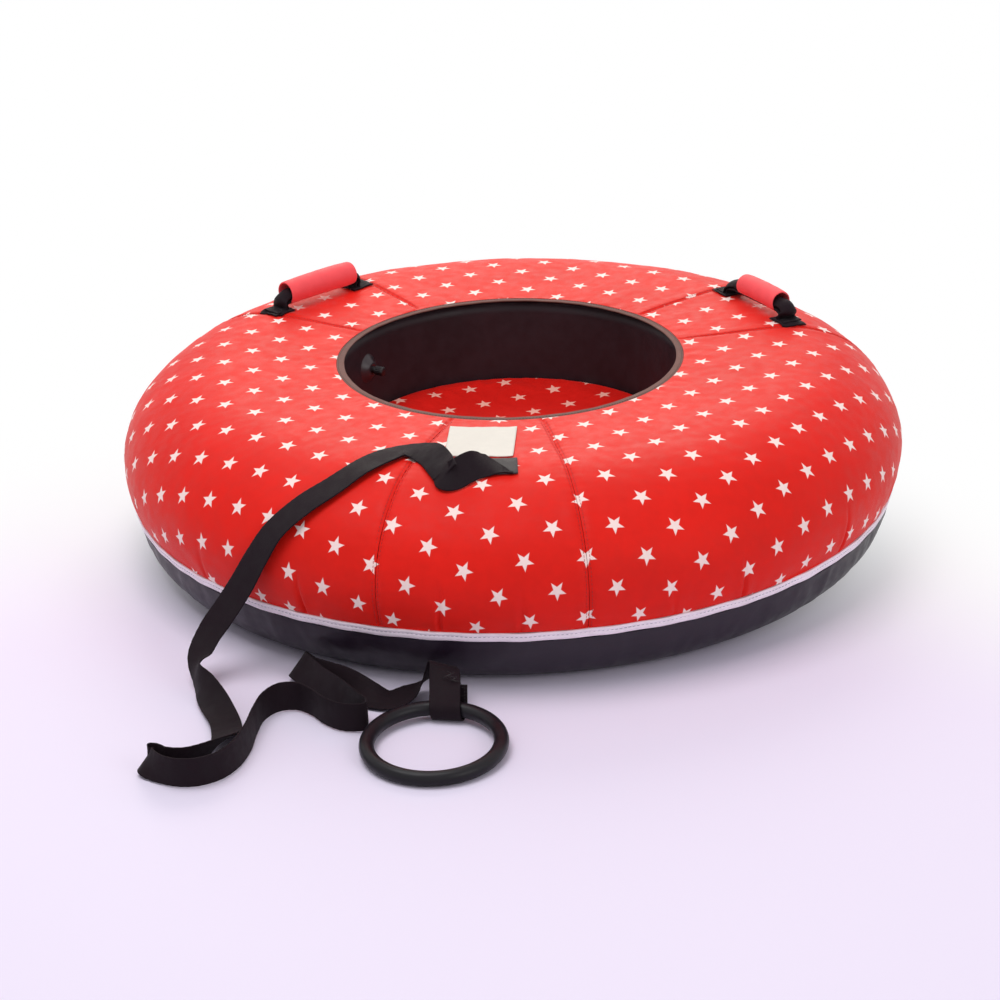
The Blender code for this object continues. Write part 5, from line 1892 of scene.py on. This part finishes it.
class Handle:
    """Foam grip on a webbing strap, sewn down on two square patches."""

    def __init__(self, grip: Grip, shape: CoverShape) -> None:
        """Place the handle's frame: X along it, Y to the opening, Z up.

        Args:
            grip: which handle.
            shape: the cover that carries it.
        """
        size = HandleSize()
        place = math.radians(grip.azimuth_deg)
        self.facing_deg = grip.azimuth_deg + grip.twist_deg
        turn = math.radians(self.facing_deg)
        outward = np.array((math.cos(turn), math.sin(turn), 0.0))
        along = np.array((-math.sin(turn), math.cos(turn), 0.0))
        self.axes = np.array((along, -outward, (0.0, 0.0, 1.0)))
        radius = shape.size.crest_radius + grip.outset
        self.origin = np.array((radius * math.cos(place), radius * math.sin(place),
                                shape.size.crest_height))
        self.grip = grip
        self.shape = shape
        self.size = size

    def put(self, points: np.ndarray) -> np.ndarray:
        """Return local points in the shared frame."""
        return points @ self.axes + self.origin

    def webbing(self) -> None:
        """Add the strap, flat where it is sewn and rolled together where it enters the sleeve.

        Each layer is a share of the full height, an inset, a width and the radius that it rolls to.
        The route climbs from one foot, runs through the sleeve and comes down to the other.
        """
        size = self.size
        foot = size.fit * 3.0 + size.patch_sheet + size.web_thickness / 2.0
        half, mouth = size.spacing / 2.0, size.mouth
        side = ((half + size.tail, foot), (half + size.tail * 0.2, foot),
                (half - size.tail * 0.40, foot + size.rise * 0.05),
                (half - size.tail * 0.30, foot + size.rise * 0.26),
                (half - size.tail * 0.22, foot + size.rise * 0.52),
                (mouth + size.tail * 0.28, foot + size.rise * 0.74),
                (mouth - size.tail * 0.35, size.rise + foot * 0.10), (mouth - size.tail, size.rise))
        layers = []
        for drop, tuck, width, reach in size.layers:
            route = [(tuck - t, foot + (h - foot) * drop) for t, h in side]
            route += [(-t, h) for t, h in reversed(route)]
            rows = []
            for t, h in route:
                h -= (h - foot) * self.grip.droop * (t > 0.0)
                slide = self.grip.slide * min(1.0, max(0.0, (h - foot) / (size.rise - foot)))
                rows.append((t + slide, 0.0, h, 0.0, 1.0, 0.0))
            dense = route_between(np.array(rows), 16)
            gather = ease((dense[:, 2] - foot) / (size.rise - foot) * 1.15)
            centre = self.put(dense[:, :3])
            across = dense[:, 3:] @ self.axes
            layers.append(Ribbon(width, size.web_thickness).carry(
                centre, -across, curl=gather / (reach * self.grip.girth), wave=size.ripple))
        points, faces = merge(layers)
        cloth = np.concatenate([layer.cloth.reshape(-1, 2) for layer in layers])
        name = self.grip.side + "_grip_webbing"
        piece = add_piece(name, WEBBING, points, faces, cloth, 75.0)
        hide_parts(self.grip.side + "_handle_strap")
        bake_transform(piece)

    def sleeve(self) -> None:
        """Add the grip: a soft tube, a little arched, with round mouths."""
        size = self.size
        half, bore = self.grip.length / 2.0, size.sleeve_radius - size.sleeve_wall
        edge, lip = size.sleeve_edge, size.sleeve_lip
        outer = np.linspace(half - edge, edge - half, 40)
        arc = np.radians(np.linspace(0.0, 90.0, 5))[1:-1]
        pinch = size.sleeve_pinch * np.exp(-(half - np.abs(outer)) / size.pinch_reach)
        wall = size.sleeve_radius - 0.0002 - pinch
        out = np.stack((wall, outer), -1)
        low = np.stack((size.sleeve_radius - edge + (edge - lip) * np.cos(arc),
                        edge - half - edge * np.sin(arc)), -1)
        inner = np.array([(bore + lip, -half), (bore, edge - half), (bore, half - edge),
                          (bore + lip, half)])
        high = low[::-1] * (1.0, -1.0)
        section = np.concatenate((out, low, inner, high))
        steps = 96
        grid = turned_grid(section[::-1], steps, closed=True)
        x, y, z = grid.points[..., 0], grid.points[..., 1], grid.points[..., 2]
        reach = np.hypot(x, y)
        turn = np.arctan2(y, x)
        uneven = size.sleeve_uneven * drift(turn * 2.0 + 0.3, z * 160.0, 1.0)
        soft = self.grip.girth + uneven / reach
        arch = size.sleeve_arch * (1.0 - (z / half) ** 2)
        points = np.stack((z + self.grip.slide, y * soft, size.rise + arch - x * soft), -1)
        piece = add_piece(self.grip.side + "_grip_foam", SLEEVE, self.put(points), grid.faces(),
                          grid.cloth)
        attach(piece, self.grip.side + "_grip")
        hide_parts(self.grip.side + "_handle_sleeve")

    def feet(self) -> None:
        """Add the square patches and the stitches that hold them and the webbing."""
        size = self.size
        rows = []
        for end, sign in (("rear", 1.0), ("front", -1.0)):
            along = sign if self.grip.side == "right" else -sign
            centre = self.put(np.array((along * size.spacing / 2.0, 0.0, 0.0)))
            patch = Patch(self.shape, tuple(centre[:2]), (size.patch, size.patch),
                          self.facing_deg, size.patch_sheet)
            node = self.grip.side + "_" + end + "_foot_patch"
            patch.add(node.replace("patch", "square"), WEBBING, node)
            rows += patch.stitch_rows(0.0026, False)
            sewn = Patch(self.shape, tuple(self.put(np.array(
                (along * (size.spacing / 2.0 + size.tail * 0.45), 0.0, 0.0)))[:2]),
                (size.tail * 1.05, size.web), self.facing_deg + 90.0, size.web_thickness)
            rows += sewn.stitch_rows(0.0016, True, lift=size.patch_sheet + 0.0005)
        size.sewing.sew(self.grip.side + "_foot_stitches", DARK_THREAD, rows, "cover")

    def build(self) -> None:
        """Add the handle."""
        self.webbing()
        self.sleeve()
        self.feet()


@dataclass(frozen=True)
class Lamp:
    """One square soft lamp, aimed at the tube's middle."""

    name: str
    place: tuple
    size: float
    power: float
    tint: tuple = (1.0, 1.0, 1.0)
    aim: tuple = (0.0, 0.0, 0.1)

    def build(self) -> None:
        """Add the lamp."""
        data = bpy.data.lights.new(self.name, "AREA")
        data.shape = "SQUARE"
        data.size = self.size
        data.energy = self.power
        data.color = self.tint
        lamp = bpy.data.objects.new(self.name, data)
        lamp.location = self.place
        away = Vector(self.place) - Vector(self.aim)
        lamp.rotation_euler = away.to_track_quat("Z", "Y").to_euler()
        bpy.context.scene.collection.objects.link(lamp)


@dataclass(frozen=True)
class Studio:
    """Camera, pale floor, lamps and world."""

    lens: float = 90.0
    sensor: float = 36.0
    distance: float = 3.2852
    elevation: float = 0.4144
    roll: float = -0.032
    target: tuple = (-0.0185, 0.0, 0.0271)
    clip: tuple = (0.05, 60.0)
    floor_reach: float = 12.0
    floor_tints: tuple = ((0.84, 0.765, 0.93, 1.0), (0.82, 0.745, 0.91, 1.0))
    floor_far: tuple = (0.90, 0.90, 0.92, 1.0)
    fade_from: float = -0.25
    fade_to: float = 0.55
    fade_aside: float = 0.22
    fade_right: float = 0.50
    sky: tuple = (0.97, 0.98, 1.0, 1.0)
    sky_strength: float = 0.50
    white: tuple = (1.0, 1.0, 1.0, 1.0)
    lamps: tuple = (Lamp("key", (-0.7, -0.5, 3.0), 1.8, 45.0),
                    Lamp("back", (0.0, 3.2, 2.2), 2.4, 54.0, (1.0, 0.92, 0.78)),
                    Lamp("fill", (2.2, -2.6, 1.8), 1.6, 18.0))

    def camera(self) -> None:
        """Place the camera at the photograph's viewing angle."""
        back = Vector((0.0, -math.cos(self.elevation), math.sin(self.elevation)))
        right = Vector((1.0, 0.0, 0.0))
        up = back.cross(right)
        turn = Matrix.Rotation(self.roll, 3, back)
        right, up = turn @ right, turn @ up
        data = bpy.data.cameras.new("camera")
        data.lens = self.lens
        data.sensor_width = self.sensor
        data.clip_start, data.clip_end = self.clip
        camera = bpy.data.objects.new("camera", data)
        place = Matrix((right, up, back)).transposed().to_4x4()
        place.translation = Vector(self.target) + back * self.distance
        camera.matrix_world = place
        bpy.context.scene.collection.objects.link(camera)
        bpy.context.scene.camera = camera

    def floor(self) -> None:
        """Add the pale floor; to the camera it fades to white further out.

        The fade follows y + fade_aside |x| + fade_right max(x, 0), from fade_from to fade_to.
        """
        reach = self.floor_reach
        corners = np.array(((-reach, -reach, 0.0), (reach, -reach, 0.0), (reach, reach, 0.0),
                            (-reach, reach, 0.0)))
        mesh = bpy.data.meshes.new("floor")
        mesh.from_pydata(corners.tolist(), [], [(0, 1, 2, 3)])
        floor = bpy.data.objects.new("floor", mesh)
        bpy.context.scene.collection.objects.link(floor)
        material = bpy.data.materials.new("floor")
        material.use_nodes = True
        chain = NodeChain(material)
        place = chain.add("ShaderNodeTexCoord").outputs["Object"]
        split = chain.add("ShaderNodeSeparateXYZ")
        chain.link(place, split.inputs[0])
        x, y = split.outputs["X"], split.outputs["Y"]
        far = chain.math("MULTIPLY_ADD", chain.math("ABSOLUTE", x), self.fade_aside, y)
        far = chain.math("MULTIPLY_ADD", chain.math("MAXIMUM", x, 0.0), self.fade_right, far)
        fade = chain.ramp(far, self.fade_from, self.fade_to)
        grain = chain.ramp(chain.noise(place, 3.0), 0.3, 0.7, 0.0, 0.10)
        colour = chain.mix(fade, chain.mix(grain, *self.floor_tints), self.floor_far)
        chain.link(colour, chain.shader.inputs["Base Color"])
        chain.shader.inputs["Roughness"].default_value = 0.6
        chain.shader.inputs["Specular IOR Level"].default_value = 0.2
        chain.finish(chain.math("MULTIPLY", fade, chain.seen()), chain.shader,
                     chain.add("ShaderNodeEmission"), "Material Output")
        mesh.materials.append(material)

    def world(self) -> None:
        """Light all round softly, and show white behind."""
        world = bpy.data.worlds.new("world")
        world.use_nodes = True
        chain = NodeChain(world)
        soft = chain.tree.nodes["Background"]
        white = chain.add("ShaderNodeBackground")
        for node, colour, strength in ((soft, self.sky, self.sky_strength),
                                       (white, self.white, 1.0)):
            node.inputs["Color"].default_value = colour
            node.inputs["Strength"].default_value = strength
        chain.finish(chain.seen(), soft, white, "World Output")
        bpy.context.scene.world = world

    def build(self) -> None:
        """Add everything round the object."""
        bpy.context.scene.view_settings.view_transform = "Standard"
        self.camera()
        self.floor()
        self.world()
        for lamp in self.lamps:
            lamp.build()


def main() -> None:
    """Dress the snow tube, light it and place the camera."""
    logging.basicConfig(level=logging.INFO, format="%(message)s")
    shape = CoverShape(CoverSize())
    parts = (Studio(), TowStrap(shape), Cover(shape), Base(), RubberRing(),
             Valve(ValveSize(), RubberRing.bore), Seat(), FrontTrim(shape),
             *(Handle(grip, shape) for grip in GRIPS))
    for part in parts:
        known = set(bpy.data.objects.keys())
        part.build()
        for name in sorted(set(bpy.data.objects.keys()) - known):
            LOG.info("%s: %s", type(part).__name__, name)


if __name__ == "__main__":
    main()
